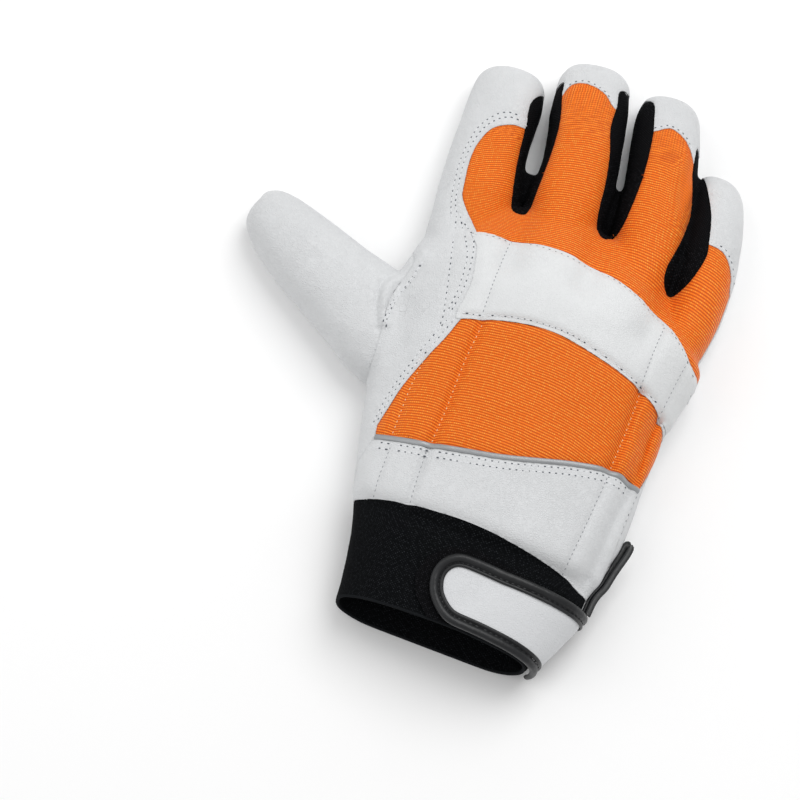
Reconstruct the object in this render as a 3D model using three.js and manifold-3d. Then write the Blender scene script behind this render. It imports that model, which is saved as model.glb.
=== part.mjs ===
// A right-hand chainsaw glove, lying on its palm with the back of the hand up.
// Millimetres, +Z up. The hand frame has +Y along the fingers from the seam between cuff and hand,
// and +X towards the little finger. The whole glove is then moved so that its origin is
// the bottom centre of its bounding box.

import * as THREE from 'three';
import { mergeVertices } from 'three/addons/utils/BufferGeometryUtils.js';
import Module from 'manifold-3d';

const wasm = await Module();
wasm.setup();

// Driving dimensions
const PALM_LENGTH = 139; // from the cuff seam to the forks between the fingers
const PALM_HALF_WIDTH = 66;
const HAND_HEIGHT = 45; // from the floor to the knuckles
const FINGER_LENGTH = 79.5; // the middle finger from the forks to its tip
const THUMB_LENGTH = 105; // from inside the palm to its tip
const THUMB_SPREAD = 23.6; // degrees that the thumb points forward of straight sideways
const CUFF_LENGTH = 43;
const CUFF_RIM_LEAN = 9; // degrees that the rim leans forward at the back of the hand
const WALL = 1.8; // leather or fabric with its lining
const GAP = 0.3; // between neighbouring pieces
const SIDE_SEAM_HEIGHT = 14; // where the palm leather meets the panels of the back
const FOURCHETTE_SEAM_HEIGHT = 7; // where the palm leather meets the strips between the fingers
const PIPING_WIDTH = 2.8;
const PIPING_PROUD = 0.7; // how far the piping stands above the panels
const PAD_THICKNESS = 1.0;
const TAB_THICKNESS = 1.6;
const BINDING_THICKNESS = 2.6;
const BINDING_WIDTH = 5.6;
const LOOP_LENGTH = 32;
const LOOP_STRAP_WIDTH = 5;
const LOOP_STRAP_THICKNESS = 1.1;
const LOOP_CLEARANCE = 0.6; // between the hang loop and the wrist that bulges beside it
const LOOP_EYE = 2.6; // between the legs of the hang loop at its open end

// Every table gives places as shares: across of the half width of the palm, and along, which is
// a share of the cuff's length below 0, of the palm's length up to 1, and of the middle finger's
// length beyond 1.

// The fingers: where each starts inside the hand and ends. Sway bends a finger sideways.
// Sway and half are shares of the half width of the palm, height of the hand's height.
const FINGERS = {
  index: { baseAcross: -0.667, baseAlong: 0.633, tipAcross: -0.818, tipAlong: 1.824,
    sway: 0.015, half: 0.264, height: 0.644 },
  middle: { baseAcross: -0.136, baseAlong: 0.72, tipAcross: -0.31, tipAlong: 2,
    sway: 0.038, half: 0.267, height: 0.667 },
  ring: { baseAcross: 0.44, baseAlong: 0.72, tipAcross: 0.205, tipAlong: 1.962,
    sway: 0.061, half: 0.236, height: 0.644 },
  little: { baseAcross: 0.682, baseAlong: 0.547, tipAcross: 0.69, tipAlong: 1.616,
    sway: 0.136, half: 0.192, height: 0.6 },
};
const THUMB = { baseAcross: -0.606, baseAlong: 0.468, half: 0.364, height: 0.69 };

const HAND_SIDES = 32;
const HAND_RINGS = 18;
const FINGER_SIDES = 12;
const FINGER_RINGS = 9;
const THUMB_SIDES = 14;
const TOP_FULLNESS = 2.3; // 2 is an ellipse, more is squarer
const BOTTOM_FULLNESS = 2.9;
const FINGER_WIDEST = 0.42; // of a finger's height, where it is widest
const BELOW_FLOOR = 2; // how far the forms reach under the floor before they are cut flat
const BOW_CENTRE = -0.12; // of the half width: the finger that stands furthest forward

// Sections of the hand, as shares: centre and half of the half width, height of the hand's height,
// widest of the section's own height, bow of the palm length.
// Bow is how far the sides fall behind the middle.
const HAND_FORM = [
  { along: -1.358, centre: -0.042, half: 0.548, height: 0.74, widest: 0.46, bow: 0 },
  { along: -0.582, centre: 0.045, half: 0.705, height: 0.78, widest: 0.46, bow: 0 },
  { along: -0.35, centre: 0.058, half: 0.745, height: 0.8, widest: 0.45, bow: 0 },
  { along: -0.129, centre: 0.045, half: 0.775, height: 0.82, widest: 0.44, bow: 0 },
  { along: 0.03, centre: 0.043, half: 0.823, height: 0.88, widest: 0.42, bow: 0 },
  { along: 0.16, centre: 0.03, half: 0.879, height: 0.88, widest: 0.4, bow: 0 },
  { along: 0.32, centre: -0.008, half: 0.917, height: 0.9, widest: 0.38, bow: 0 },
  { along: 0.5, centre: -0.04, half: 0.965, height: 0.95, widest: 0.36, bow: 0 },
  { along: 0.66, centre: -0.019, half: 1.0, height: 1.0, widest: 0.33, bow: 0.02 },
  { along: 0.77, centre: 0.005, half: 1.005, height: 1.0, widest: 0.32, bow: 0.06 },
  { along: 0.87, centre: 0.01, half: 0.985, height: 0.91, widest: 0.34, bow: 0.12 },
  { along: 0.94, centre: 0.005, half: 0.95, height: 0.79, widest: 0.37, bow: 0.17 },
  { along: 0.99, centre: 0, half: 0.9, height: 0.7, widest: 0.4, bow: 0.2 },
  { along: 1.044, centre: 0, half: 0.84, height: 0.61, widest: 0.42, bow: 0.2 },
  { along: 1.079, centre: 0, half: 0.74, height: 0.44, widest: 0.42, bow: 0.2 },
  { along: 1.087, centre: 0, half: 0.6, height: 0.24, widest: 0.42, bow: 0.2 },
];

// Sections of a finger, as shares of its own length, half width and height
const FINGER_FORM = [
  { along: 0, half: 0.74, height: 1.0 },
  { along: 0.2, half: 0.92, height: 1.1 },
  { along: 0.42, half: 1.0, height: 1.06 },
  { along: 0.6, half: 1.0, height: 1.0 },
  { along: 0.75, half: 0.97, height: 0.94 },
  { along: 0.86, half: 0.92, height: 0.86 },
  { along: 0.93, half: 0.84, height: 0.75 },
  { along: 0.975, half: 0.66, height: 0.6 },
  { along: 1, half: 0.34, height: 0.38 },
];

const THUMB_FORM = [
  { along: 0, half: 1.0, height: 1.0 },
  { along: 0.24, half: 0.97, height: 1.0 },
  { along: 0.37, half: 0.87, height: 0.98 },
  { along: 0.5, half: 0.81, height: 0.96 },
  { along: 0.64, half: 0.755, height: 0.92 },
  { along: 0.78, half: 0.695, height: 0.86 },
  { along: 0.88, half: 0.64, height: 0.78 },
  { along: 0.95, half: 0.53, height: 0.66 },
  { along: 0.985, half: 0.36, height: 0.5 },
  { along: 1, half: 0.16, height: 0.34 },
];

// Folds and dents on the back of the hand: from one place across and along to another,
// with reach and depth as shares of the hand's height
const FOLDS = [
  { name: 'valley index middle', x0: -0.41, y0: 1.035, x1: -0.36, y1: 0.78, reach: 0.16, depth: 0.1 },
  { name: 'valley middle ring', x0: 0.14, y0: 1.035, x1: 0.14, y1: 0.8, reach: 0.16, depth: 0.09 },
  { name: 'valley ring little', x0: 0.66, y0: 0.93, x1: 0.6, y1: 0.72, reach: 0.15, depth: 0.1 },
  { name: 'lobe seam', x0: 0.69, y0: 0.56, x1: 0.68, y1: 0.32, reach: 0.06, depth: 0.045 },
  { name: 'outer lobe fold', x0: 0.84, y0: 0.51, x1: 0.82, y1: 0.31, reach: 0.07, depth: 0.07 },
  { name: 'wrist fold', x0: 0.83, y0: 0.27, x1: 0.78, y1: 0, reach: 0.07, depth: 0.06 },
  { name: 'channel at the thumb side', x0: -0.38, y0: 0.57, x1: -0.41, y1: 0, reach: 0.05, depth: 0.03 },
  { name: 'dip above the cuff', x0: -0.7, y0: -0.065, x1: 0.75, y1: -0.097, reach: 0.1, depth: 0.05 },
];

// Borders of the panels in plan
const KNUCKLE_BAND_OUTLINE = [
  { across: -0.54, along: 0.57 },
  { across: -0.46, along: 0.575 },
  { across: -0.22, along: 0.605 },
  { across: 0, along: 0.62 },
  { across: 0.18, along: 0.615 },
  { across: 0.36, along: 0.6 },
  { across: 0.55, along: 0.57 },
  { across: 0.8, along: 0.52 },
  { across: 1.2, along: 0.4 },
  { across: 1.2, along: 0.6 },
  { across: 0.95, along: 0.68 },
  { across: 0.83, along: 0.73 },
  { across: 0.7, along: 0.78 },
  { across: 0.52, along: 0.82 },
  { across: 0.3, along: 0.853 },
  { across: 0.1, along: 0.87 },
  { across: -0.12, along: 0.875 },
  { across: -0.4, along: 0.865 },
  { across: -0.64, along: 0.85 },
  { across: -0.58, along: 0.8 },
  { across: -0.53, along: 0.7 },
  { across: -0.53, along: 0.64 },
];

const FINGER_BACK_OUTLINE = [
  { across: -0.52, along: 0.8 },
  { across: 0.1, along: 0.8 },
  { across: 0.7, along: 0.7 },
  { across: 0.9, along: 0.64 },
  { across: 1.25, along: 0.6 },
  { across: 1.25, along: 0.96 },
  { across: 1.03, along: 0.98 },
  { across: 0.98, along: 1.052 },
  { across: 0.93, along: 1.114 },
  { across: 0.86, along: 1.154 },
  { across: 0.76, along: 1.163 },
  { across: 0.66, along: 1.175 },
  { across: 0.56, along: 1.42 },
  { across: 0.5, along: 1.559 },
  { across: 0.44, along: 1.656 },
  { across: 0.37, along: 1.699 },
  { across: 0.28, along: 1.717 },
  { across: 0.19, along: 1.673 },
  { across: 0.08, along: 1.664 },
  { across: -0.02, along: 1.717 },
  { across: -0.11, along: 1.726 },
  { across: -0.19, along: 1.778 },
  { across: -0.3, along: 1.804 },
  { across: -0.41, along: 1.787 },
  { across: -0.45, along: 1.717 },
  { across: -0.5, along: 1.525 },
  { across: -0.58, along: 1.451 },
  { across: -0.69, along: 1.42 },
  { across: -0.8, along: 1.35 },
  { across: -0.855, along: 1.245 },
  { across: -0.86, along: 1.14 },
  { across: -0.83, along: 1 },
  { across: -0.81, along: 0.96 },
  { across: -0.74, along: 0.92 },
  { across: -0.67, along: 0.88 },
];

const FOURCHETTE_OUTLINES = {
  fourchette_index_middle: [
    { across: -0.48, along: 0.99 },
    { across: -0.41, along: 0.985 },
    { across: -0.38, along: 1.017 },
    { across: -0.375, along: 1.227 },
    { across: -0.38, along: 1.385 },
    { across: -0.4, along: 1.542 },
    { across: -0.45, along: 1.699 },
    { across: -0.49, along: 1.804 },
    { across: -0.62, along: 1.629 },
    { across: -0.595, along: 1.455 },
    { across: -0.56, along: 1.245 },
    { across: -0.515, along: 1.07 },
  ],
  fourchette_middle_ring: [
    { across: 0.1, along: 1.014 },
    { across: 0.16, along: 1.009 },
    { across: 0.2, along: 1.061 },
    { across: 0.225, along: 1.157 },
    { across: 0.23, along: 1.385 },
    { across: 0.205, along: 1.594 },
    { across: 0.17, along: 1.734 },
    { across: 0.1, along: 1.874 },
    { across: -0.1, along: 1.857 },
    { across: -0.09, along: 1.734 },
    { across: -0.075, along: 1.594 },
    { across: -0.02, along: 1.455 },
    { across: 0.02, along: 1.297 },
    { across: 0.05, along: 1.105 },
  ],
  fourchette_ring_little: [
    { across: 0.6, along: 0.925 },
    { across: 0.66, along: 0.91 },
    { across: 0.71, along: 0.935 },
    { across: 0.755, along: 0.98 },
    { across: 0.785, along: 1.087 },
    { across: 0.77, along: 1.175 },
    { across: 0.73, along: 1.315 },
    { across: 0.67, along: 1.437 },
    { across: 0.58, along: 1.594 },
    { across: 0.49, along: 1.699 },
    { across: 0.515, along: 1.542 },
    { across: 0.56, along: 1.437 },
    { across: 0.6, along: 1.315 },
    { across: 0.605, along: 1.175 },
    { across: 0.59, along: 1.052 },
    { across: 0.575, along: 0.97 },
  ],
};

const PIPING_LINE = [
  { across: -1.1, along: 0.155 },
  { across: -0.75, along: 0.165 },
  { across: -0.41, along: 0.183 },
  { across: -0.2, along: 0.2 },
  { across: 0.03, along: 0.22 },
  { across: 0.26, along: 0.25 },
  { across: 0.49, along: 0.283 },
  { across: 0.7, along: 0.305 },
  { across: 0.89, along: 0.3 },
  { across: 1.2, along: 0.28 },
];

// From the piping's little-finger end, under the knuckle band, and down the thumb side
const BACK_PANEL_OTHER_SIDES = [
  { across: 1.3, along: 0.5 },
  { across: 0, along: 0.68 },
  { across: -0.55, along: 0.57 },
  { across: -0.6, along: 0.49 },
  { across: -0.65, along: 0.41 },
  { across: -0.72, along: 0.3 },
  { across: -0.74, along: 0.2 },
];

const CUFF_SEAM = [
  { across: -1.2, along: -0.129 },
  { across: -0.75, along: -0.071 },
  { across: -0.61, along: -0.032 },
  { across: -0.41, along: 0 },
  { across: -0.15, along: 0.008 },
  { across: 0.11, along: 0.006 },
  { across: 0.3, along: -0.01 },
  { across: 0.48, along: -0.052 },
  { across: 0.65, along: -0.103 },
  { across: 0.79, along: -0.178 },
  { across: 1.2, along: -0.291 },
];

const THUMB_SEAM = [
  { across: -0.95, along: 0.33 },
  { across: -0.97, along: 0.42 },
  { across: -1.0, along: 0.5 },
  { across: -1.03, along: 0.6 },
  { across: -1.035, along: 0.68 },
  { across: -1.035, along: 0.77 },
];

// The closure tab's edge, and the patch under it
const TAB_OUTLINE = [
  { across: 1.3, along: -0.5 },
  { across: 0.85, along: -0.4 },
  { across: 0.53, along: -0.345 },
  { across: 0.28, along: -0.315 },
  { across: 0.13, along: -0.28 },
  { across: 0.04, along: -0.265 },
  { across: -0.04, along: -0.3 },
  { across: -0.1, along: -0.42 },
  { across: -0.115, along: -0.57 },
  { across: -0.08, along: -0.73 },
  { across: 0.0, along: -0.86 },
  { across: 0.12, along: -0.97 },
  { across: 0.32, along: -1.06 },
  { across: 0.54, along: -1.14 },
  { across: 0.72, along: -1.15 },
  { across: 1.3, along: -1.12 },
];

const PAD_OUTLINE = [
  { across: 0.6, along: -0.3 },
  { across: 0.1, along: -0.2 },
  { across: -0.06, along: -0.25 },
  { across: -0.17, along: -0.4 },
  { across: -0.2, along: -0.6 },
  { across: -0.15, along: -0.78 },
  { across: -0.04, along: -0.94 },
  { across: 0.6, along: -0.94 },
];

const TAB_LOW_END = 8; // height at which the tab goes under the little-finger edge
const HIGH = 100; // above everything
const CLEAR = 300; // beyond everything

function alongPlace(along) {
  if (along < 0) {
    return along * CUFF_LENGTH;
  }
  return Math.min(along, 1) * PALM_LENGTH + Math.max(along - 1, 0) * FINGER_LENGTH;
}

function place(across, along) {
  return new THREE.Vector2(across * PALM_HALF_WIDTH, alongPlace(along));
}

const plan = (row) => place(row.across, row.along);

// A closed geometry as a solid
function solid(geometry) {
  const bare = geometry.clone();
  bare.deleteAttribute('normal');
  bare.deleteAttribute('uv');
  const merged = mergeVertices(bare, 1e-4);
  const mesh = new wasm.Mesh({
    numProp: 3,
    vertProperties: new Float32Array(merged.attributes.position.array),
    triVerts: new Uint32Array(merged.index.array),
  });
  return new wasm.Manifold(mesh);
}

// A solid of the largest connected body alone
function largest(body) {
  const parts = body.decompose();
  return parts.reduce((best, part) => (part.volume() > best.volume() ? part : best));
}

function geometryOf(body) {
  const mesh = body.getMesh();
  const geometry = new THREE.BufferGeometry();
  geometry.setAttribute('position', new THREE.BufferAttribute(mesh.vertProperties, 3));
  geometry.setIndex(new THREE.BufferAttribute(mesh.triVerts, 1));
  geometry.computeVertexNormals();
  return geometry;
}

// One smooth row between the rows of a table, at a share from 0 to 1 of the table's length
function rowAt(table, share) {
  const place = share * (table.length - 1);
  const k = Math.min(Math.floor(place), table.length - 2);
  const t = place - k;
  const row = {};
  for (const name of Object.keys(table[0])) {
    const a = table[Math.max(k - 1, 0)][name];
    const b = table[k][name];
    const c = table[k + 1][name];
    const d = table[Math.min(k + 2, table.length - 1)][name];
    const bend = t * (2 * a - 5 * b + 4 * c - d + t * (3 * b - a - 3 * c + d));
    row[name] = b + 0.5 * t * (c - a + bend);
  }
  return row;
}

// How deep the folds press the back of the hand down at a place in plan
function foldDepth(x, y) {
  let depth = 0;
  const here = new THREE.Vector3(x, y, 0);
  const nearest = new THREE.Vector3();
  for (const fold of FOLDS) {
    const start = place(fold.x0, fold.y0);
    const end = place(fold.x1, fold.y1);
    const line = new THREE.Line3(new THREE.Vector3(...start, 0), new THREE.Vector3(...end, 0));
    line.closestPointToPoint(here, true, nearest);
    const away = nearest.distanceTo(here) / (fold.reach * HAND_HEIGHT);
    depth += fold.depth * HAND_HEIGHT * Math.exp(-away * away);
  }
  return depth;
}

// A point on a rounded section at an angle from 0 at the +X side through a quarter turn at the top
function sectionPoint(angle, half, top, bottom) {
  const c = Math.cos(angle);
  const s = Math.sin(angle);
  const fullness = s > 0 ? TOP_FULLNESS : BOTTOM_FULLNESS;
  const across = half * Math.sign(c) * Math.abs(c) ** (2 / fullness);
  const up = (s > 0 ? top : bottom) * Math.sign(s) * Math.abs(s) ** (2 / fullness);
  return { across, up, crown: Math.max(s, 0) };
}

// A closed body through rings of points, capped at both ends
function loft(rings) {
  const sides = rings[0].length;
  const points = rings.flat();
  const triangles = [];
  for (let k = 0; k < rings.length - 1; k += 1) {
    for (let i = 0; i < sides; i += 1) {
      const next = (i + 1) % sides;
      const a = k * sides + i;
      const b = k * sides + next;
      triangles.push(a, a + sides, b, b, a + sides, b + sides);
    }
  }
  const middle = (ring) => ring.reduce((sum, p) => sum.add(p), new THREE.Vector3()).divideScalar(sides);
  const start = points.push(middle(rings[0])) - 1;
  const end = points.push(middle(rings[rings.length - 1])) - 1;
  const last = (rings.length - 1) * sides;
  for (let i = 0; i < sides; i += 1) {
    const next = (i + 1) % sides;
    triangles.push(start, i, next, end, last + next, last + i);
  }
  const geometry = new THREE.BufferGeometry().setFromPoints(points);
  geometry.setIndex(triangles);
  return solid(geometry);
}

// A point on the hand's own surface, grown outwards by a distance
function handPoint(row, angle, grown) {
  const height = row.height * HAND_HEIGHT;
  const middle = row.widest * height;
  const half = row.half * PALM_HALF_WIDTH + grown;
  const top = height - middle + grown;
  const p = sectionPoint(angle, half, top, middle + BELOW_FLOOR + grown);
  const x = row.centre * PALM_HALF_WIDTH + p.across;
  const aside = x / PALM_HALF_WIDTH - BOW_CENTRE;
  const y = alongPlace(row.along) + grown * row.along - row.bow * PALM_LENGTH * aside ** 2;
  return new THREE.Vector3(x, y, middle + p.up - p.crown * foldDepth(x, y));
}

function handRings(grown, from, to, count) {
  const rings = [];
  for (let k = 0; k <= count; k += 1) {
    const row = rowAt(HAND_FORM, from + (to - from) * (k / count));
    const ring = [];
    for (let i = 0; i < HAND_SIDES; i += 1) {
      ring.push(handPoint(row, (i / HAND_SIDES) * 2 * Math.PI, grown));
    }
    rings.push(ring);
  }
  return rings;
}

// Rings round a finger from its base to its tip in plan
function fingerRings(finger, base, tip, form, sides, grown) {
  const axis = new THREE.Vector3(tip.x - base.x, tip.y - base.y, 0);
  const length = axis.length() + grown;
  axis.normalize();
  const right = new THREE.Vector3(axis.y, -axis.x, 0);
  const rings = [];
  for (let k = 0; k <= FINGER_RINGS; k += 1) {
    const row = rowAt(form, k / FINGER_RINGS);
    const height = row.height * finger.height * HAND_HEIGHT;
    const middle = FINGER_WIDEST * height;
    const sway = (finger.sway ?? 0) * PALM_HALF_WIDTH * 4 * row.along * (1 - row.along);
    const half = row.half * finger.half * PALM_HALF_WIDTH + grown;
    const top = height - middle + grown;
    const ring = [];
    for (let i = 0; i < sides; i += 1) {
      const angle = (i / sides) * 2 * Math.PI;
      const p = sectionPoint(angle, half, top, middle + BELOW_FLOOR / 2 + grown);
      const point = new THREE.Vector3(base.x, base.y, 0).addScaledVector(axis, row.along * length);
      point.addScaledVector(right, p.across + sway).setZ(middle + p.up);
      ring.push(point);
    }
    rings.push(ring);
  }
  return rings;
}

function box(low, high) {
  const size = high.clone().sub(low);
  const centre = low.clone().add(high).multiplyScalar(0.5);
  const geometry = new THREE.BoxGeometry(size.x, size.y, size.z);
  return solid(geometry.translate(centre.x, centre.y, centre.z));
}

// The space above a floor height
function above(height) {
  return box(new THREE.Vector3(-CLEAR, -CLEAR, height), new THREE.Vector3(CLEAR, CLEAR, HIGH));
}

// The space on the finger side of the cuff's leaning rim
function insideRim() {
  const geometry = new THREE.BoxGeometry(2 * CLEAR, CLEAR, 2 * HIGH);
  geometry.translate(0, CLEAR / 2, 0);
  geometry.rotateX(-THREE.MathUtils.degToRad(CUFF_RIM_LEAN));
  geometry.translate(0, -CUFF_LENGTH, HAND_HEIGHT / 3);
  return solid(geometry);
}

// The way that the thumb points, as long as a distance
function alongThumb(distance) {
  const spread = THREE.MathUtils.degToRad(THUMB_SPREAD);
  return new THREE.Vector2(-Math.cos(spread), Math.sin(spread)).multiplyScalar(distance);
}

// The whole hand grown by a distance, with every finger, standing on a flat face
function handForm(grown) {
  let form = loft(handRings(grown, 0, 1, HAND_RINGS));
  for (const finger of Object.values(FINGERS)) {
    const base = place(finger.baseAcross, finger.baseAlong);
    const tip = place(finger.tipAcross, finger.tipAlong);
    form = form.add(loft(fingerRings(finger, base, tip, FINGER_FORM, FINGER_SIDES, grown)));
  }
  const thumbBase = place(THUMB.baseAcross, THUMB.baseAlong);
  const thumbTip = thumbBase.clone().add(alongThumb(THUMB_LENGTH));
  form = form.add(loft(fingerRings(THUMB, thumbBase, thumbTip, THUMB_FORM, THUMB_SIDES, grown)));
  return form.intersect(above(-grown));
}

const WRIST_SHARE = 0.5; // of the hand's table, from the rim: the stretch that carries the tab
function wristForm(grown) {
  return loft(handRings(grown, 0, WRIST_SHARE, HAND_RINGS / 2));
}

// A wall of the wrist between two distances out from the cuff
function wristLayer(inner, outer) {
  return wristForm(outer).subtract(wristForm(inner));
}

// An outline moved outwards by a distance
function grow(points, distance) {
  const turn = THREE.ShapeUtils.isClockWise(points) ? -1 : 1;
  return points.map((point, i) => {
    const before = points[(i + points.length - 1) % points.length];
    const after = points[(i + 1) % points.length];
    const a = point.clone().sub(before).normalize();
    const b = after.clone().sub(point).normalize();
    const out = new THREE.Vector2(a.y + b.y, -a.x - b.x);
    const spread = Math.max(1 + a.dot(b), 0.5);
    return point.clone().addScaledVector(out, (turn * distance) / spread);
  });
}

// The upright column over an outline, between two heights
function column(points, low, high) {
  const shape = new THREE.Shape(points);
  const geometry = new THREE.ExtrudeGeometry(shape, { depth: high - low, bevelEnabled: false });
  return solid(geometry.translate(0, 0, low));
}

// A line moved to its left by a distance
function moveLine(line, distance) {
  return line.map((point, i) => {
    const before = line[Math.max(i - 1, 0)];
    const after = line[Math.min(i + 1, line.length - 1)];
    const along = after.clone().sub(before).normalize();
    return point.clone().add(new THREE.Vector2(-along.y, along.x).multiplyScalar(distance));
  });
}

// A long outline on both sides of a line
function strip(line, half) {
  return [...moveLine(line, -half), ...moveLine(line, half).reverse()];
}

// Everything to one side of a line, out to two far corners
function beside(line, distance, afterEnd, beforeStart) {
  return [...moveLine(line, distance), afterEnd, beforeStart];
}

const glove = new THREE.Group();
const WHITE_LEATHER = { color: '#dfe1e2', roughness: 0.55 };
const ORANGE_FABRIC = { color: '#ff6a13', roughness: 0.85 };
const BLACK_FABRIC = { color: '#161618', roughness: 0.9 };
const GREY_TRIM = { color: '#8f9397', roughness: 0.45 };
const DARK_BINDING = { color: '#2c2d30', roughness: 0.5 };

function addPiece(name, body, look) {
  const material = new THREE.MeshStandardMaterial({ ...look, metalness: 0 });
  const mesh = new THREE.Mesh(geometryOf(body), material);
  mesh.name = name;
  glove.add(mesh);
  return mesh;
}

// The hollow glove before it is divided
const outside = handForm(0);
const shell = outside.subtract(handForm(-WALL)).intersect(insideRim());
let rest = shell;

// Takes the part of the shell inside an outline, and leaves a gap round it
function takePanel(name, points, low, look) {
  const body = largest(rest.intersect(column(points, low, HIGH)));
  rest = rest.subtract(column(grow(points, GAP), low - GAP, HIGH));
  return addPiece(name, body, look);
}

for (const [name, outline] of Object.entries(FOURCHETTE_OUTLINES)) {
  takePanel(name, outline.map(plan), FOURCHETTE_SEAM_HEIGHT, BLACK_FABRIC);
}
takePanel('knuckle_band', KNUCKLE_BAND_OUTLINE.map(plan), SIDE_SEAM_HEIGHT, WHITE_LEATHER);
takePanel('finger_back_panel', FINGER_BACK_OUTLINE.map(plan), SIDE_SEAM_HEIGHT, ORANGE_FABRIC);

// The cuff goes all the way round, so it is cut by a seam through both faces
const cuffSeam = CUFF_SEAM.map(plan);
const nearRight = new THREE.Vector2(CLEAR, -CLEAR);
const nearLeft = new THREE.Vector2(-CLEAR, -CLEAR);
const farRight = new THREE.Vector2(CLEAR, CLEAR);
const farLeft = new THREE.Vector2(-CLEAR, CLEAR);
const cuffRoom = column(beside(cuffSeam, -GAP / 2, nearRight, nearLeft), -CLEAR, HIGH);
addPiece('cuff_band', largest(rest.intersect(cuffRoom)), BLACK_FABRIC);
rest = rest.intersect(column(beside(cuffSeam, GAP / 2, farRight, farLeft), -CLEAR, HIGH));

// The thumb is cut off by its seam, and the far side of the cut runs beside it, past its tip
const thumbSeam = THUMB_SEAM.map(plan);
const thumbFar = thumbSeam[thumbSeam.length - 1].clone().add(alongThumb(CLEAR));
const thumbNear = new THREE.Vector2(-CLEAR, thumbSeam[0].y);
const thumbRoom = column(beside(thumbSeam, GAP / 2, thumbFar, thumbNear), -CLEAR, HIGH);
addPiece('thumb_leather', largest(rest.intersect(thumbRoom)), WHITE_LEATHER);
rest = rest.subtract(column(beside(thumbSeam, -GAP / 2, thumbFar, thumbNear), -CLEAR, HIGH));

// The piping stands a little proud of the panels on both sides of it
const pipingLine = PIPING_LINE.map(plan);
const pipingRoom = column(strip(pipingLine, PIPING_WIDTH / 2), SIDE_SEAM_HEIGHT, HIGH);
const pipingWall = wristForm(PIPING_PROUD).subtract(wristForm(-WALL));
addPiece('reflective_piping', largest(pipingWall.intersect(pipingRoom)), GREY_TRIM);
const pipingHalf = PIPING_WIDTH / 2 + GAP;
rest = rest.subtract(column(strip(pipingLine, pipingHalf), SIDE_SEAM_HEIGHT - GAP, HIGH));

// The orange panel between the piping and the band, and the wrist panel between cuff and piping
const backOutline = [...pipingLine.slice(1), ...BACK_PANEL_OTHER_SIDES.map(plan)];
takePanel('hand_back_panel', backOutline, SIDE_SEAM_HEIGHT, ORANGE_FABRIC);

const wristOutline = [...pipingLine, ...cuffSeam.slice().reverse()];
takePanel('wrist_panel', wristOutline, SIDE_SEAM_HEIGHT, WHITE_LEATHER);
addPiece('palm_leather', largest(rest), WHITE_LEATHER);

// The closure: a patch on the cuff, the leather tab over it, and the tab's bound edge
const padInner = GAP;
const padOuter = padInner + PAD_THICKNESS;
const tabInner = padOuter + GAP;
const tabLine = TAB_OUTLINE.map(plan);
const padColumn = column(PAD_OUTLINE.map(plan), HAND_HEIGHT / 2, HIGH);
const pad = wristLayer(padInner, padOuter).intersect(padColumn);
addPiece('loop_pad', largest(pad.intersect(insideRim())), BLACK_FABRIC);

const tabColumn = column(grow(tabLine, -BINDING_WIDTH), TAB_LOW_END, HIGH);
const tab = wristLayer(tabInner, tabInner + TAB_THICKNESS).intersect(tabColumn);
addPiece('closure_tab', largest(tab), WHITE_LEATHER);

const bindingColumn = column(tabLine, TAB_LOW_END, HIGH);
const bindingHole = column(grow(tabLine, GAP - BINDING_WIDTH), -CLEAR, HIGH);
const binding = wristLayer(tabInner, tabInner + BINDING_THICKNESS).intersect(bindingColumn);
addPiece('tab_binding', largest(binding.subtract(bindingHole)), DARK_BINDING);

// The hang loop: a strap that leaves the tab's upper edge, runs forward along the little-finger side
// and comes back beside itself, open at its far end
function handRowAlong(y) {
  let low = 0;
  let high = 1;
  for (let k = 0; k < 20; k += 1) {
    const middle = (low + high) / 2;
    if (alongPlace(rowAt(HAND_FORM, middle).along) < y) {
      low = middle;
    } else {
      high = middle;
    }
  }
  return rowAt(HAND_FORM, low);
}

// How far the outer leg stands off the inner one, along the loop
const LOOP_FORM = [
  { along: 0, open: 0 },
  { along: 0.25, open: 0 },
  { along: 0.5, open: 0.1 },
  { along: 0.7, open: 0.5 },
  { along: 0.85, open: 0.95 },
  { along: 0.95, open: 1 },
  { along: 1, open: 0.7 },
];

const tabTop = tabLine[1].y;
const loopStart = tabTop + BINDING_THICKNESS + GAP;
function loopPoint(row, away) {
  const y = loopStart + row.along * LOOP_LENGTH;
  const point = handPoint(handRowAlong(y), 0, away);
  return new THREE.Vector2(point.x, point.y);
}
const innerAway = LOOP_CLEARANCE + LOOP_STRAP_THICKNESS / 2;
const legSpacing = LOOP_STRAP_THICKNESS + GAP;
const innerLeg = LOOP_FORM.slice(0, -1).map((row) => loopPoint(row, innerAway));
const outerLeg = LOOP_FORM.map((row) => loopPoint(row, innerAway + legSpacing + row.open * LOOP_EYE));
const loopPath = [...innerLeg, ...outerLeg.reverse()];
const loopRow = handRowAlong(loopStart);
const loopMiddle = loopRow.widest * loopRow.height * HAND_HEIGHT;
const loopLow = loopMiddle - LOOP_STRAP_WIDTH / 2;
const loopOutline = strip(loopPath, LOOP_STRAP_THICKNESS / 2);
addPiece('hang_loop', column(loopOutline, loopLow, loopLow + LOOP_STRAP_WIDTH), BLACK_FABRIC);

// The origin is the bottom centre of the whole glove
const bounds = new THREE.Box3().setFromObject(glove);
const centre = bounds.getCenter(new THREE.Vector3());
glove.position.set(-centre.x, -centre.y, -bounds.min.z);

export default glove;
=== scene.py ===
"""A right-hand chainsaw glove that lies on its palm: leather palm and thumb, ribbed fabric back,
knuckle band, stretch strips between the fingers, elastic cuff and a bound wrist tab.

Metres. The hand frame has +Y along the fingers from the seam between cuff and hand, and +X towards
the little finger. Tables give places as shares: across of the half width of the palm, and along,
which is a share of the cuff's length below 0, of the palm's up to 1, and of the middle finger's
beyond 1.
"""

import math

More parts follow.
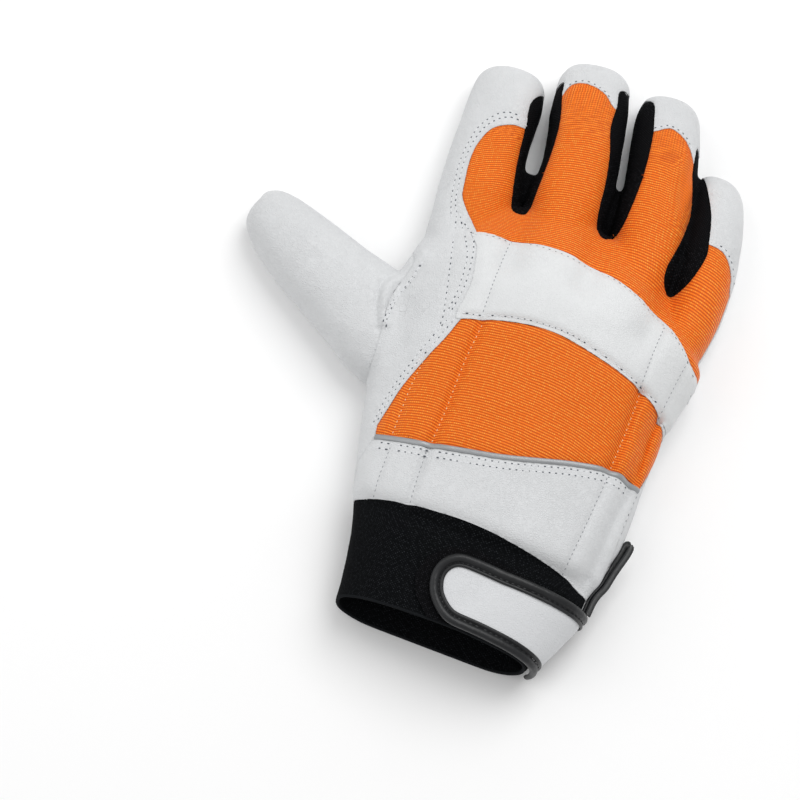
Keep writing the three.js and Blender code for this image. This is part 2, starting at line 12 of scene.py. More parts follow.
import bpy
import numpy as np
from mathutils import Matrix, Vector, noise
from mathutils.bvhtree import BVHTree


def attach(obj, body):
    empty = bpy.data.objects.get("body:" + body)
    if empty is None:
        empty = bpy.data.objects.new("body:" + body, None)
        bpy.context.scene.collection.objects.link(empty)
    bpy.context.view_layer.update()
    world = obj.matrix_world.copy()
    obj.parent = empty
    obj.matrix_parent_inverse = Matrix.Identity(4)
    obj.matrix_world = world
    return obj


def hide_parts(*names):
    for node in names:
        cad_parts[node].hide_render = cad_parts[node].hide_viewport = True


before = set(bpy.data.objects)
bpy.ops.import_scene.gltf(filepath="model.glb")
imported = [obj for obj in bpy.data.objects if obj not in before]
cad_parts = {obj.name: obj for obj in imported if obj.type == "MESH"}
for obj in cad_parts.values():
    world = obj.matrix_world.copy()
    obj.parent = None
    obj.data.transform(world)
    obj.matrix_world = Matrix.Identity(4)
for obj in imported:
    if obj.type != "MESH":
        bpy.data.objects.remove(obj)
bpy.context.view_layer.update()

# Driving sizes, as in the construction
PALM_LENGTH = 0.139
PALM_HALF_WIDTH = 0.066
HAND_HEIGHT = 0.045
FINGER_LENGTH = 0.0795
THUMB_LENGTH = 0.105
THUMB_SPREAD = math.radians(23.6)
CUFF_LENGTH = 0.043
CUFF_RIM_LEAN = math.radians(9)
SIDE_SEAM_HEIGHT = 0.014
FOURCHETTE_SEAM_HEIGHT = 0.007
HAND_ORIGIN = (0.0356, -0.08489)  # where the row frame has the middle of the cuff seam
THUMB_WAY = np.array([-math.cos(THUMB_SPREAD), math.sin(THUMB_SPREAD)])

# The trims, the tab and the hang loop
PIPING_WIDTH = 0.0023
PIPING_PROUD = 0.0007
PIPING_ROOT = 0.0009  # how deep its edges go into the seam
PAD_BASE = 0.0003
PAD_THICKNESS = 0.001
TAB_BASE = 0.0016
TAB_THICKNESS = 0.0016
TAB_LOW_END = 0.008
LOW_EDGE = 0.0006  # points this little above the tab's low end belong to it
TAB_INSET = 0.0025
BINDING_HEIGHT = 0.0026
LOOP_LENGTH = 0.034
LOOP_CLEARANCE = 0.0012
LOOP_EYE = 0.001
LOOP_LEG_GAP = 0.0003
LOOP_LEAN = math.radians(28)
LOOP_TUCK = 0.0022  # how far the loop's ends reach under the tab's binding
STRAP_WIDTH = 0.0042
STRAP_THICKNESS = 0.0011
HEM_RADIUS = 0.0008
HEM_FLATNESS = 1.15  # its width, as a share of its thickness

# The sewn skin
WALL = 0.0016
VOXEL = 0.00105
SEAM_GAP = 0.00006
SEAM_REACH = 0.004  # how far from a seam a panel reaches its full height
HEM_LAP = 0.003  # how far the wrist panel's outline reaches past the cuff's seam, to meet it
SLIVER = 0.00016
ABOVE_FLOOR = 0.00002
FLOOR_SOFTNESS = 0.0004  # how round the underside turns into its flat
LOOSENESS = 0.0005  # how high the leather's broad waves stand
BROAD_WAVES = 45
SMALL_WAVES = 110
MARGIN = 0.012  # beyond this the distance to a line isn't worked out
WRINKLE_MARGIN = 0.02
PULL_MARGIN = 0.04

# Where each finger starts inside the hand and ends: across and along, then sway and half as
# shares of the half width, and height of the hand's height
FINGERS = {
    "index": ((-0.667, 0.633), (-0.818, 1.824), 0.015, 0.264, 0.644),
    "middle": ((-0.136, 0.72), (-0.31, 2.0), 0.038, 0.267, 0.667),
    "ring": ((0.44, 0.72), (0.205, 1.962), 0.061, 0.236, 0.644),
    "little": ((0.682, 0.547), (0.69, 1.616), 0.136, 0.192, 0.6),
}
THUMB_BASE = (-0.606, 0.468)
THUMB_HALF = 0.364
THUMB_SWAY = -0.045
THUMB_HEIGHT = 0.69
TOP_FULLNESS = 2.3
BOTTOM_FULLNESS = 2.9
FINGER_WIDEST = 0.42
BELOW_FLOOR = 0.002
BOW_CENTRE = -0.12

# along, centre, half, height, widest, bow
HAND_FORM = [
    (-1.358, -0.042, 0.548, 0.74, 0.46, 0),
    (-0.582, 0.045, 0.705, 0.78, 0.46, 0),
    (-0.35, 0.058, 0.745, 0.8, 0.45, 0),
    (-0.129, 0.045, 0.775, 0.82, 0.44, 0),
    (0.03, 0.043, 0.823, 0.88, 0.42, 0),
    (0.16, 0.03, 0.879, 0.88, 0.4, 0),
    (0.32, -0.008, 0.917, 0.9, 0.38, 0),
    (0.5, -0.04, 0.965, 0.95, 0.36, 0),
    (0.66, -0.019, 1.0, 1.0, 0.33, 0.02),
    (0.77, 0.005, 1.005, 1.0, 0.32, 0.06),
    (0.87, 0.01, 0.985, 0.91, 0.34, 0.12),
    (0.94, 0.005, 0.95, 0.79, 0.37, 0.17),
    (0.99, 0, 0.9, 0.7, 0.4, 0.2),
    (1.044, 0, 0.84, 0.61, 0.42, 0.2),
    (1.079, 0, 0.74, 0.44, 0.42, 0.2),
    (1.087, 0, 0.6, 0.24, 0.42, 0.2),
]

# along, half, height
FINGER_FORM = [
    (0, 0.74, 1.0),
    (0.2, 0.92, 1.1),
    (0.42, 1.0, 1.06),
    (0.6, 1.0, 1.0),
    (0.75, 0.97, 0.94),
    (0.86, 0.92, 0.86),
    (0.93, 0.84, 0.75),
    (0.975, 0.66, 0.6),
    (1, 0.34, 0.38),
]
THUMB_FORM = [
    (0, 1.0, 1.0),
    (0.24, 0.97, 1.0),
    (0.37, 0.87, 0.98),
    (0.5, 0.79, 0.96),
    (0.64, 0.725, 0.92),
    (0.78, 0.64, 0.86),
    (0.88, 0.56, 0.78),
    (0.95, 0.46, 0.66),
    (0.985, 0.36, 0.5),
    (1, 0.22, 0.34),
]

# The webs that fill the forks between the fingers, and the thumb tip's forward corner: from
# and to in plan, half and height as shares of the half width and of the hand's height
WEBS = [
    ((-0.45, 0.93), (-0.475, 1.3), 0.1, 0.31),
    ((0.13, 0.95), (0.05, 1.385), 0.11, 0.31),
    ((0.66, 0.88), (0.66, 1.3), 0.08, 0.31),
    ((-1.74, 0.742), (-2.055, 0.803), 0.085, 0.36),
]
WEB_FORM = [(0, 1, 1), (0.4, 1, 1), (0.7, 0.95, 0.95), (0.9, 0.75, 0.8), (1, 0.4, 0.5)]

# Lines between two fingers that their sides stand back from, and how far
HOLLOWS = [
    ((-0.46, 1.1), (-0.5, 1.62), 0.0022),
    ((0.09, 1.15), (0.03, 1.55), 0.0006),
]
HOLLOW_REACH = 0.007

# Folds of the back of the hand: from and to in plan, reach and depth as shares of the hand's
# height. A negative depth is a ridge.
FOLDS = [
    (-0.41, 1.035, -0.36, 0.78, 0.16, 0.1),
    (0.14, 1.035, 0.14, 0.8, 0.16, 0.09),
    (0.66, 0.93, 0.6, 0.72, 0.15, 0.1),
    (0.69, 0.56, 0.68, 0.32, 0.06, 0.045),
    (0.84, 0.51, 0.82, 0.31, 0.07, 0.07),
    (0.83, 0.27, 0.78, 0, 0.07, 0.06),
    (-0.38, 0.57, -0.41, 0, 0.05, 0.03),
    (-0.7, -0.065, 0.75, -0.097, 0.1, 0.05),
]

# Outlines of the panels in plan: across, along
KNUCKLE_BAND = [
    (-0.54, 0.57), (-0.46, 0.575), (-0.22, 0.605), (0, 0.62), (0.18, 0.615), (0.36, 0.6),
    (0.55, 0.58), (0.8, 0.54), (1.2, 0.43), (1.2, 0.62), (0.95, 0.695), (0.83, 0.743), (0.7, 0.788),
    (0.52, 0.82), (0.3, 0.853), (0.1, 0.87), (-0.12, 0.875), (-0.4, 0.865), (-0.64, 0.85),
    (-0.58, 0.8), (-0.53, 0.7), (-0.53, 0.64),
]
FINGER_BACK = [
    (-0.52, 0.8), (0.1, 0.8), (0.7, 0.7), (0.9, 0.64), (1.25, 0.6), (1.25, 0.96), (1.03, 0.98),
    (0.98, 1.052), (0.93, 1.114), (0.86, 1.154), (0.76, 1.163), (0.66, 1.175), (0.585, 1.42),
    (0.52, 1.559), (0.44, 1.656), (0.37, 1.699), (0.28, 1.717), (0.19, 1.673), (0.08, 1.664),
    (-0.02, 1.717), (-0.11, 1.726), (-0.19, 1.778), (-0.3, 1.804), (-0.41, 1.787), (-0.45, 1.717),
    (-0.5, 1.525), (-0.58, 1.451), (-0.69, 1.42), (-0.79, 1.36), (-0.84, 1.25), (-0.845, 1.14),
    (-0.82, 1), (-0.8, 0.96), (-0.74, 0.92), (-0.68, 0.89), (-0.63, 0.86), (-0.59, 0.83),
]
FOURCHETTES = {
    "fourchette_index_middle": [
        (-0.48, 0.99), (-0.41, 0.985), (-0.38, 1.017), (-0.375, 1.227), (-0.38, 1.385),
        (-0.4, 1.542), (-0.45, 1.699), (-0.49, 1.804), (-0.62, 1.629), (-0.595, 1.455),
        (-0.56, 1.245), (-0.515, 1.07),
    ],
    "fourchette_middle_ring": [
        (0.1, 1.014), (0.16, 1.009), (0.2, 1.061), (0.225, 1.157), (0.23, 1.385), (0.205, 1.594),
        (0.17, 1.734), (0.1, 1.874), (-0.1, 1.857), (-0.09, 1.734), (-0.075, 1.594),
        (-0.02, 1.455), (0.02, 1.297), (0.05, 1.105),
    ],
    "fourchette_ring_little": [
        (0.6, 0.925), (0.66, 0.91), (0.71, 0.935), (0.755, 0.98), (0.785, 1.087), (0.77, 1.175),
        (0.73, 1.315), (0.67, 1.437), (0.58, 1.594), (0.49, 1.699), (0.515, 1.542),
        (0.56, 1.437), (0.6, 1.315), (0.605, 1.175), (0.59, 1.052), (0.575, 0.97),
    ],
}
PIPING_LINE = [
    (-1.1, 0.155), (-0.75, 0.165), (-0.41, 0.183), (-0.2, 0.2), (0.03, 0.22), (0.26, 0.25),
    (0.49, 0.283), (0.7, 0.305), (0.89, 0.3), (1.2, 0.28),
]
PIPING_ENDS = (-0.785, 0.905)
BACK_PANEL_SIDES = [
    (0.93, 0.405), (0.935, 0.462), (0.895, 0.5), (0.85, 0.515), (0.835, 0.55), (0.79, 0.61),
    (0, 0.68), (-0.4, 0.63), (-0.48, 0.59), (-0.515, 0.555), (-0.555, 0.5), (-0.635, 0.415),
    (-0.7, 0.33), (-0.735, 0.26), (-0.765, 0.2),
]
WRIST_HEM_ENDS = (-0.75, 0.86)
WRIST_OUTER_SIDE = [(0.88, 0.15), (0.87, 0)]
WRIST_THUMB_SIDE = [(-0.76, -0.01), (-0.8, 0.09)]
CUFF_SEAM = [
    (-1.2, -0.129), (-0.75, -0.071), (-0.61, -0.032), (-0.41, 0), (-0.15, 0.008), (0.11, 0.006),
    (0.3, -0.01), (0.48, -0.052), (0.65, -0.103), (0.79, -0.178), (1.2, -0.291),
]
THUMB_SEAM = [
    (-0.95, 0.33), (-0.95, 0.42), (-0.965, 0.5), (-0.98, 0.56), (-0.975, 0.61), (-0.95, 0.66),
    (-0.93, 0.71), (-0.98, 0.77),
]
TAB_OUTLINE = [
    (1.3, -0.4), (0.85, -0.31), (0.53, -0.285), (0.28, -0.285), (0.13, -0.27), (0.04, -0.262),
    (-0.04, -0.3), (-0.1, -0.42), (-0.115, -0.57), (-0.08, -0.73), (0.0, -0.86), (0.12, -0.97),
    (0.32, -1.06), (0.54, -1.14), (0.72, -1.15), (1.3, -1.12),
]
PAD_OUTLINE = [
    (0.6, -0.3), (0.1, -0.2), (-0.06, -0.25), (-0.17, -0.4), (-0.2, -0.6), (-0.15, -0.78),
    (-0.04, -0.94), (0.6, -0.94),
]

# The hang loop: along it, and how far its eye is open there
LOOP_FORM = [(0, 0), (0.25, 0), (0.5, 0.1), (0.7, 0.5), (0.85, 0.95), (0.95, 1), (1, 0.7)]

# The binding's section in millimetres: in from the tab's edge, and up
BINDING_PROFILE = [
    (0.5, 0.0), (0.05, 0.6), (0.1, 1.5), (0.6, 2.3), (1.5, 2.65), (2.5, 2.5), (3.2, 2.0),
    (3.55, 1.65), (3.95, 1.62), (4.3, 1.95), (4.8, 2.15), (5.3, 2.0), (5.6, 1.6), (5.2, 1.2),
    (3.0, 1.0), (1.5, 0.2),
]

# Every stitched row of the back: what kind it is, and its line
STITCH_ROWS = [
    ("topstitch", [(-0.79, 0.9), (-0.75, 0.82), (-0.69, 0.71), (-0.62, 0.57), (-0.62, 0.53)]),
    ("topstitch", [(-0.77, 0.9), (-0.66, 0.81), (-0.61, 0.75), (-0.59, 0.66), (-0.6, 0.58)]),
    ("topstitch", [(-0.73, 0.88), (-0.64, 0.84), (-0.59, 0.78), (-0.56, 0.68), (-0.58, 0.58)]),
    ("topstitch", [(-0.6, 1.465), (-0.69, 1.465), (-0.77, 1.43), (-0.84, 1.35), (-0.872, 1.25),
                   (-0.878, 1.13), (-0.855, 1), (-0.83, 0.94), (-0.79, 0.9)]),
    ("topstitch", [(-0.62, 1.49), (-0.71, 1.49), (-0.79, 1.455), (-0.87, 1.36), (-0.9, 1.25),
                   (-0.905, 1.13), (-0.885, 1), (-0.86, 0.94), (-0.82, 0.89)]),
    ("topstitch", [(-0.58, 0.56), (-0.62, 0.51), (-0.69, 0.42), (-0.745, 0.34), (-0.775, 0.28),
                   (-0.795, 0.2)]),
    ("topstitch", [(-0.545, 0.56), (-0.59, 0.5), (-0.665, 0.41), (-0.725, 0.33), (-0.755, 0.27),
                   (-0.775, 0.21)]),
    ("topstitch", [(0.99, 0.66), (0.99, 0.61), (0.94, 0.47)]),
    ("topstitch", [(0.89, 0.29), (0.88, 0.2), (0.88, 0.15)]),
    ("topstitch", [(0.79, 1.18), (0.87, 1.172), (0.945, 1.13), (0.995, 1.07), (1.045, 1.0)]),
    ("topstitch", [(-0.12, 1.74), (-0.18, 1.785), (-0.3, 1.819), (-0.4, 1.805), (-0.44, 1.765)]),
    ("topstitch", [(0.45, 1.67), (0.38, 1.714), (0.28, 1.732), (0.21, 1.705)]),
    ("topstitch", [(-0.61, 0.845), (-0.48, 0.855), (-0.29, 0.865), (-0.09, 0.865), (0.11, 0.86),
                   (0.32, 0.845), (0.54, 0.807), (0.71, 0.775), (0.84, 0.73), (0.95, 0.685)]),
    ("topstitch", [(-0.54, 0.583), (-0.41, 0.593), (-0.23, 0.617), (-0.04, 0.63), (0.16, 0.63),
                   (0.36, 0.613), (0.58, 0.585), (0.78, 0.555)]),
    ("leather_quilt", [(-0.4, 0.85), (-0.4, 0.76), (-0.39, 0.61)]),
    ("leather_quilt", [(0.69, 0.77), (0.68, 0.68), (0.68, 0.56)]),
    ("leather_quilt", [(0.9, 0.7), (0.88, 0.64), (0.85, 0.51)]),
    ("leather_quilt", [(-0.63, 0.14), (-0.63, 0.06), (-0.62, -0.01)]),
    ("leather_quilt", [(-0.41, 0.16), (-0.4, 0.07), (-0.39, 0.01)]),
    ("leather_quilt", [(0.68, 0.28), (0.66, 0.14), (0.63, -0.08)]),
    ("thumb_seam", [(-0.87, 0.73), (-0.89, 0.66), (-0.94, 0.59), (-0.95, 0.52), (-0.93, 0.48)]),
    ("thumb_seam", [(-0.88, 0.71), (-0.91, 0.65), (-0.96, 0.57), (-0.965, 0.51)]),
    ("fabric_quilt", [(-0.63, 0.43), (-0.65, 0.33), (-0.65, 0.19)]),
    ("fabric_quilt", [(-0.37, 0.57), (-0.39, 0.45), (-0.39, 0.31), (-0.4, 0.2)]),
    ("fabric_quilt", [(0.69, 0.55), (0.69, 0.44), (0.68, 0.32)]),
]

# length of a stitch, its pitch, its thickness, and how deep and wide its row is pressed
STITCH_KINDS = {
    "topstitch": (0.0019, 0.00265, 0.00052, 0.00035, 0.0009),
    "thumb_seam": (0.0019, 0.00265, 0.00052, 0.0003, 0.0009),
    "leather_quilt": (0.0013, 0.002, 0.00042, 0.0008, 0.0017),
    "fabric_quilt": (0.0011, 0.0024, 0.0004, 0.001, 0.002),
}

PIPING_ROWS = (0.0012, 0.0037)  # how far below the piping its two stitched rows run
BINDING_STITCH = (0.0018, 0.0024, 0.0005)  # length, pitch and thickness
BINDING_GROOVE = (0.00375, 0.0017)  # in from the tab's edge, and up
# the flat dark marks that paint the shade in the needle holes
NEEDLE_HOLE = (0.0012, 0.00055)  # length and width
THREAD_SINK = 0.00002
THREAD_BEND = 0.45  # how far a stitch's ends dip, as a share of its thickness

# Soft folds and ridges of the leather: reach and depth in metres, then their line
WRINKLES = [
    (0.0024, -0.0022, [(-0.89, 0.735), (-0.97, 0.67), (-1.02, 0.61), (-1.0, 0.556), (-0.96, 0.5)]),
    (0.0016, 0.0014, [(-0.95, 0.74), (-1.02, 0.67), (-1.07, 0.61), (-1.045, 0.545), (-0.99, 0.48)]),
    (0.0011, 0.0013, [(0.865, 0.52), (0.842, 0.455), (0.85, 0.355), (0.86, 0.32)]),
    (0.0016, 0.0009, [(-0.93, 0.98), (-0.98, 0.9), (-0.98, 0.83)]),
    (0.002, 0.0006, [(-1.02, 1.12), (-0.95, 1.07), (-0.92, 1.0)]),
    (0.0025, 0.0005, [(-1.25, 0.72), (-1.2, 0.66), (-1.22, 0.6)]),
    (0.002, 0.0005, [(-1.42, 0.78), (-1.36, 0.74), (-1.34, 0.67)]),
    (0.003, 0.001, [(0.82, 0.27), (0.79, 0.17), (0.79, 0.06), (0.79, -0.11)]),
    (0.003, 0.001, [(-0.79, 0.16), (-0.81, 0.09), (-0.76, -0.01)]),
    (0.004, 0.0008, [(-0.84, 0.57), (-0.8, 0.44), (-0.82, 0.3)]),
    (0.005, 0.0008, [(-0.2, 0.16), (-0.16, 0.09), (-0.19, 0.02)]),
    (0.006, 0.0006, [(0.2, 0.2), (0.24, 0.1), (0.2, 0.01)]),
]


def along_place(along):
    """The distance along the hand, from a share or an array of shares."""
    along = np.asarray(along, float)
    hand = np.minimum(along, 1) * PALM_LENGTH + np.maximum(along - 1, 0) * FINGER_LENGTH
    return np.where(along < 0, along * CUFF_LENGTH, hand)


def plan(rows):
    """Places in the row frame, seen from above, of rows of across and along."""
    rows = np.asarray(rows, float)
    x = rows[:, 0] * PALM_HALF_WIDTH + HAND_ORIGIN[0]
    y = along_place(rows[:, 1]) + HAND_ORIGIN[1]
    return np.stack([x, y], 1)


def smooth_line(points, steps=8, closed=False):
    """A Catmull-Rom curve through points, open or closed."""
    points = np.asarray(points, float)
    if closed:
        padded = np.vstack([points[-1:], points, points[:2]])
    else:
        padded = np.vstack([2 * points[:1] - points[1:2], points, 2 * points[-1:] - points[-2:-1]])
    found = []
    for k in range(len(padded) - 3):
        a, b, c, d = padded[k:k + 4]
        for step in range(steps):
            t = step / steps
            bend = t * (2 * a - 5 * b + 4 * c - d + t * (3 * b - a - 3 * c + d))
            found.append(b + 0.5 * t * (c - a + bend))
    if not closed:
        found.append(points[-1])
    return np.array(found)


def evenly(line, spacing):
    """The same line with points at an even spacing."""
    step = np.linalg.norm(np.diff(line, axis=0), axis=1)
    reach = np.concatenate([[0], np.cumsum(step)])
    places = np.linspace(0, reach[-1], max(int(round(reach[-1] / spacing)), 2) + 1)
    return np.stack([np.interp(places, reach, line[:, k]) for k in range(line.shape[1])], 1)


def rows_at(table, shares):
    """Smooth rows between the rows of a table, at shares from 0 to 1 of its length."""
    table = np.asarray(table, float)
    last = len(table) - 1
    place = np.asarray(shares, float) * last
    k = np.clip(np.floor(place).astype(int), 0, last - 1)
    t = (place - k)[:, None]
    a, b, c, d = (table[np.clip(k + shift, 0, last)] for shift in (-1, 0, 1, 2))
    bend = t * (2 * a - 5 * b + 4 * c - d + t * (3 * b - a - 3 * c + d))
    return b + 0.5 * t * (c - a + bend)


def section(turn, half, top, bottom):
    """A point on a rounded section. Turn is 0 at the little-finger side and a quarter at the top."""
    c, s = np.cos(turn), np.sin(turn)
    fullness = np.where(s > 0, TOP_FULLNESS, BOTTOM_FULLNESS)
    across = half * np.sign(c) * np.abs(c) ** (2 / fullness)
    up = np.where(s > 0, top, bottom) * np.sign(s) * np.abs(s) ** (2 / fullness)
    return across, up


def hand_surface(turn, share, grown=0.0):
    """Points on the hand in the row frame, at a turn round it and a share of its table."""
    along, centre, half, height, widest, bow = rows_at(HAND_FORM, share).T
    height = height * HAND_HEIGHT
    middle = widest * height
    across, up = section(turn, half * PALM_HALF_WIDTH + grown, height - middle + grown,
                         middle + BELOW_FLOOR + grown)
    x = centre * PALM_HALF_WIDTH + across
    aside = x / PALM_HALF_WIDTH - BOW_CENTRE
    y = along_place(along) - bow * PALM_LENGTH * aside ** 2
    return np.stack([x + HAND_ORIGIN[0], y + HAND_ORIGIN[1], middle + up], 1)


def finger_surface(turn, share, base, tip, form, sway, half, height):
    """Points on a finger from its base to its tip in plan."""
    axis = (tip - base) / np.linalg.norm(tip - base)
    right = np.array([axis[1], -axis[0]])
    along, wide, tall = rows_at(form, share).T
    height = tall * height * HAND_HEIGHT
    middle = FINGER_WIDEST * height
    across, up = section(turn, wide * half * PALM_HALF_WIDTH, height - middle,
                         middle + BELOW_FLOOR / 2)
    across = across + sway * PALM_HALF_WIDTH * 4 * along * (1 - along)
    flat = base + np.outer(along * np.linalg.norm(tip - base), axis) + np.outer(across, right)
    return np.column_stack([flat, middle + up])


def hollowed(points):
    """The same points, moved aside from the lines between two fingers."""
    for start, end, depth in HOLLOWS:
        start, end = plan([start, end])
        length = np.linalg.norm(end - start)
        axis = (end - start) / length
        right = np.array([axis[1], -axis[0]])
        share = (points[:, :2] - start) @ axis / length
        aside = (points[:, :2] - start) @ right
        inside = np.sin(math.pi * np.clip(share, 0, 1))
        push = depth * inside * np.sign(aside) * np.exp(-(aside / HOLLOW_REACH) ** 2)
        points[:, :2] += push[:, None] * right
    return points


def read_mesh(obj):
    """The vertices and triangles of an object as arrays."""
    mesh = obj.data
    mesh.calc_loop_triangles()
    points = np.empty(len(mesh.vertices) * 3)
    mesh.vertices.foreach_get("co", points)
    triangles = np.empty(len(mesh.loop_triangles) * 3, int)
    mesh.loop_triangles.foreach_get("vertices", triangles)
    return points.reshape(-1, 3), triangles.reshape(-1, 3)


def make_mesh(name, points, faces):
    """A new object from arrays of vertices and of faces with the same number of corners."""
    mesh = bpy.data.meshes.new(name)
    corners = faces.shape[1]
    mesh.vertices.add(len(points))
    mesh.vertices.foreach_set("co", np.ascontiguousarray(points, np.float32).ravel())
    mesh.loops.add(faces.size)
    mesh.loops.foreach_set("vertex_index", np.ascontiguousarray(faces, np.int32).ravel())
    mesh.polygons.add(len(faces))
    mesh.polygons.foreach_set("loop_start", np.arange(0, faces.size, corners, dtype=np.int32))
    mesh.update(calc_edges=True)
    mesh.validate()
    obj = bpy.data.objects.new(name, mesh)
    bpy.context.scene.collection.objects.link(obj)
    return obj


def use_only(obj):
    bpy.ops.object.select_all(action="DESELECT")
    obj.select_set(True)
    bpy.context.view_layer.objects.active = obj


def apply_modifier(obj, kind, **settings):
    use_only(obj)
    modifier = obj.modifiers.new(kind.lower(), kind)
    for name, value in settings.items():
        setattr(modifier, name, value)
    bpy.ops.object.modifier_apply(modifier=modifier.name)


def tube_form(name, sides, rings, place):
    """A closed tube: a cylinder with cuts along it, whose points are then put in place."""
    bpy.ops.mesh.primitive_cylinder_add(vertices=sides, radius=1, depth=1, end_fill_type="TRIFAN")
    obj = bpy.context.object
    obj.name = name
    mesh = obj.data
    uprights = []
    for edge in mesh.edges:
        a, b = (mesh.vertices[i].co for i in edge.vertices)
        uprights.append(abs(a.z - b.z) > 0.5)
    mesh.vertices.foreach_set("select", [False] * len(mesh.vertices))
    mesh.polygons.foreach_set("select", [False] * len(mesh.polygons))
    mesh.edges.foreach_set("select", uprights)
    bpy.ops.object.mode_set(mode="EDIT")
    bpy.ops.mesh.select_mode(type="EDGE")
    bpy.ops.object.mode_set(mode="OBJECT")
    mesh.edges.foreach_set("select", uprights)
    bpy.ops.object.mode_set(mode="EDIT")
    bpy.ops.mesh.subdivide(number_cuts=rings)
    bpy.ops.object.mode_set(mode="OBJECT")
    points, _ = read_mesh(obj)
    share = np.clip(points[:, 2] + 0.5, 0, 1)
    placed = place(np.arctan2(points[:, 1], points[:, 0]), share)
    middle = np.hypot(points[:, 0], points[:, 1]) < 0.5
    for end in (0, 1):
        ring = (np.abs(share - end) < 1e-6) & ~middle
        placed[(np.abs(share - end) < 1e-6) & middle] = placed[ring].mean(0)
    mesh.vertices.foreach_set("co", placed.ravel())
    mesh.update()
    return obj


def build_skin():
    """The whole hand with fingers and thumb, joined into one even skin."""
    parts = [tube_form("hand_form", 96, 110, hand_surface)]
    for name, (base, tip, sway, half, height) in FINGERS.items():
        ends = plan([base, tip])
        parts.append(tube_form(f"{name}_form", 48, 70, lambda turn, share: hollowed(
            finger_surface(turn, share, *ends, FINGER_FORM, sway, half, height))))
    base = plan([THUMB_BASE])[0]
    tip = base + THUMB_WAY * THUMB_LENGTH
    parts.append(tube_form("thumb_form", 56, 80, lambda turn, share: finger_surface(
        turn, share, base, tip, THUMB_FORM, THUMB_SWAY, THUMB_HALF, THUMB_HEIGHT)))
    for k, (start, end, half, height) in enumerate(WEBS):
        parts.append(tube_form(f"web_form_{k}", 32, 24, lambda turn, share: finger_surface(
            turn, share, *plan([start, end]), WEB_FORM, 0, half, height)))
    for part in parts:
        part.select_set(True)
    bpy.context.view_layer.objects.active = parts[0]
    bpy.ops.object.join()
    skin = bpy.context.object
    apply_modifier(skin, "REMESH", mode="VOXEL", voxel_size=VOXEL)
    apply_modifier(skin, "SMOOTH", factor=0.5, iterations=12)
    points, triangles = read_mesh(skin)
    bpy.data.objects.remove(skin)
    return points, triangles


def vertex_normals(points, triangles):
    a, b, c = (points[triangles[:, k]] for k in range(3))
    face = np.cross(b - a, c - a)
    normals = np.zeros_like(points)
    for k in range(3):
        np.add.at(normals, triangles[:, k], face)
    return normals / np.maximum(np.linalg.norm(normals, axis=1, keepdims=True), 1e-15)


def segment_distance(points, start, end):
    """The distance in plan from points to a segment."""
    line = end - start
    t = np.clip(((points - start) @ line) / max(line @ line, 1e-12), 0, 1)
    return np.linalg.norm(points - start - np.outer(t, line), axis=1)


def line_distance(points, line, margin=MARGIN):
    """The distance in plan from points to a line of segments. Far points just get the margin."""
    best = np.full(len(points), margin)
    for start, end in zip(line[:-1], line[1:]):
        low, high = np.minimum(start, end) - margin, np.maximum(start, end) + margin
        near = np.flatnonzero(np.all((points > low) & (points < high), axis=1))
        best[near] = np.minimum(best[near], segment_distance(points[near], start, end))
    return best


def outline_side(points, outline):
    """The distance in plan to a closed outline: negative inside. Far points just get the margin."""
    found = np.full(len(points), MARGIN)
    low, high = outline.min(0) - MARGIN, outline.max(0) + MARGIN
    near = np.all((points > low) & (points < high), axis=1)
    here = points[near]
    closed = np.vstack([outline, outline[:1]])
    inside = np.zeros(len(here), bool)
    for (x0, y0), (x1, y1) in zip(closed[:-1], closed[1:]):
        if y0 == y1:
            continue
        spans = (here[:, 1] > min(y0, y1)) & (here[:, 1] <= max(y0, y1))
        inside ^= spans & (here[:, 0] < x0 + (here[:, 1] - y0) * (x1 - x0) / (y1 - y0))
    away = line_distance(here, closed)
    found[near] = np.where(inside, -away, away)
    return found


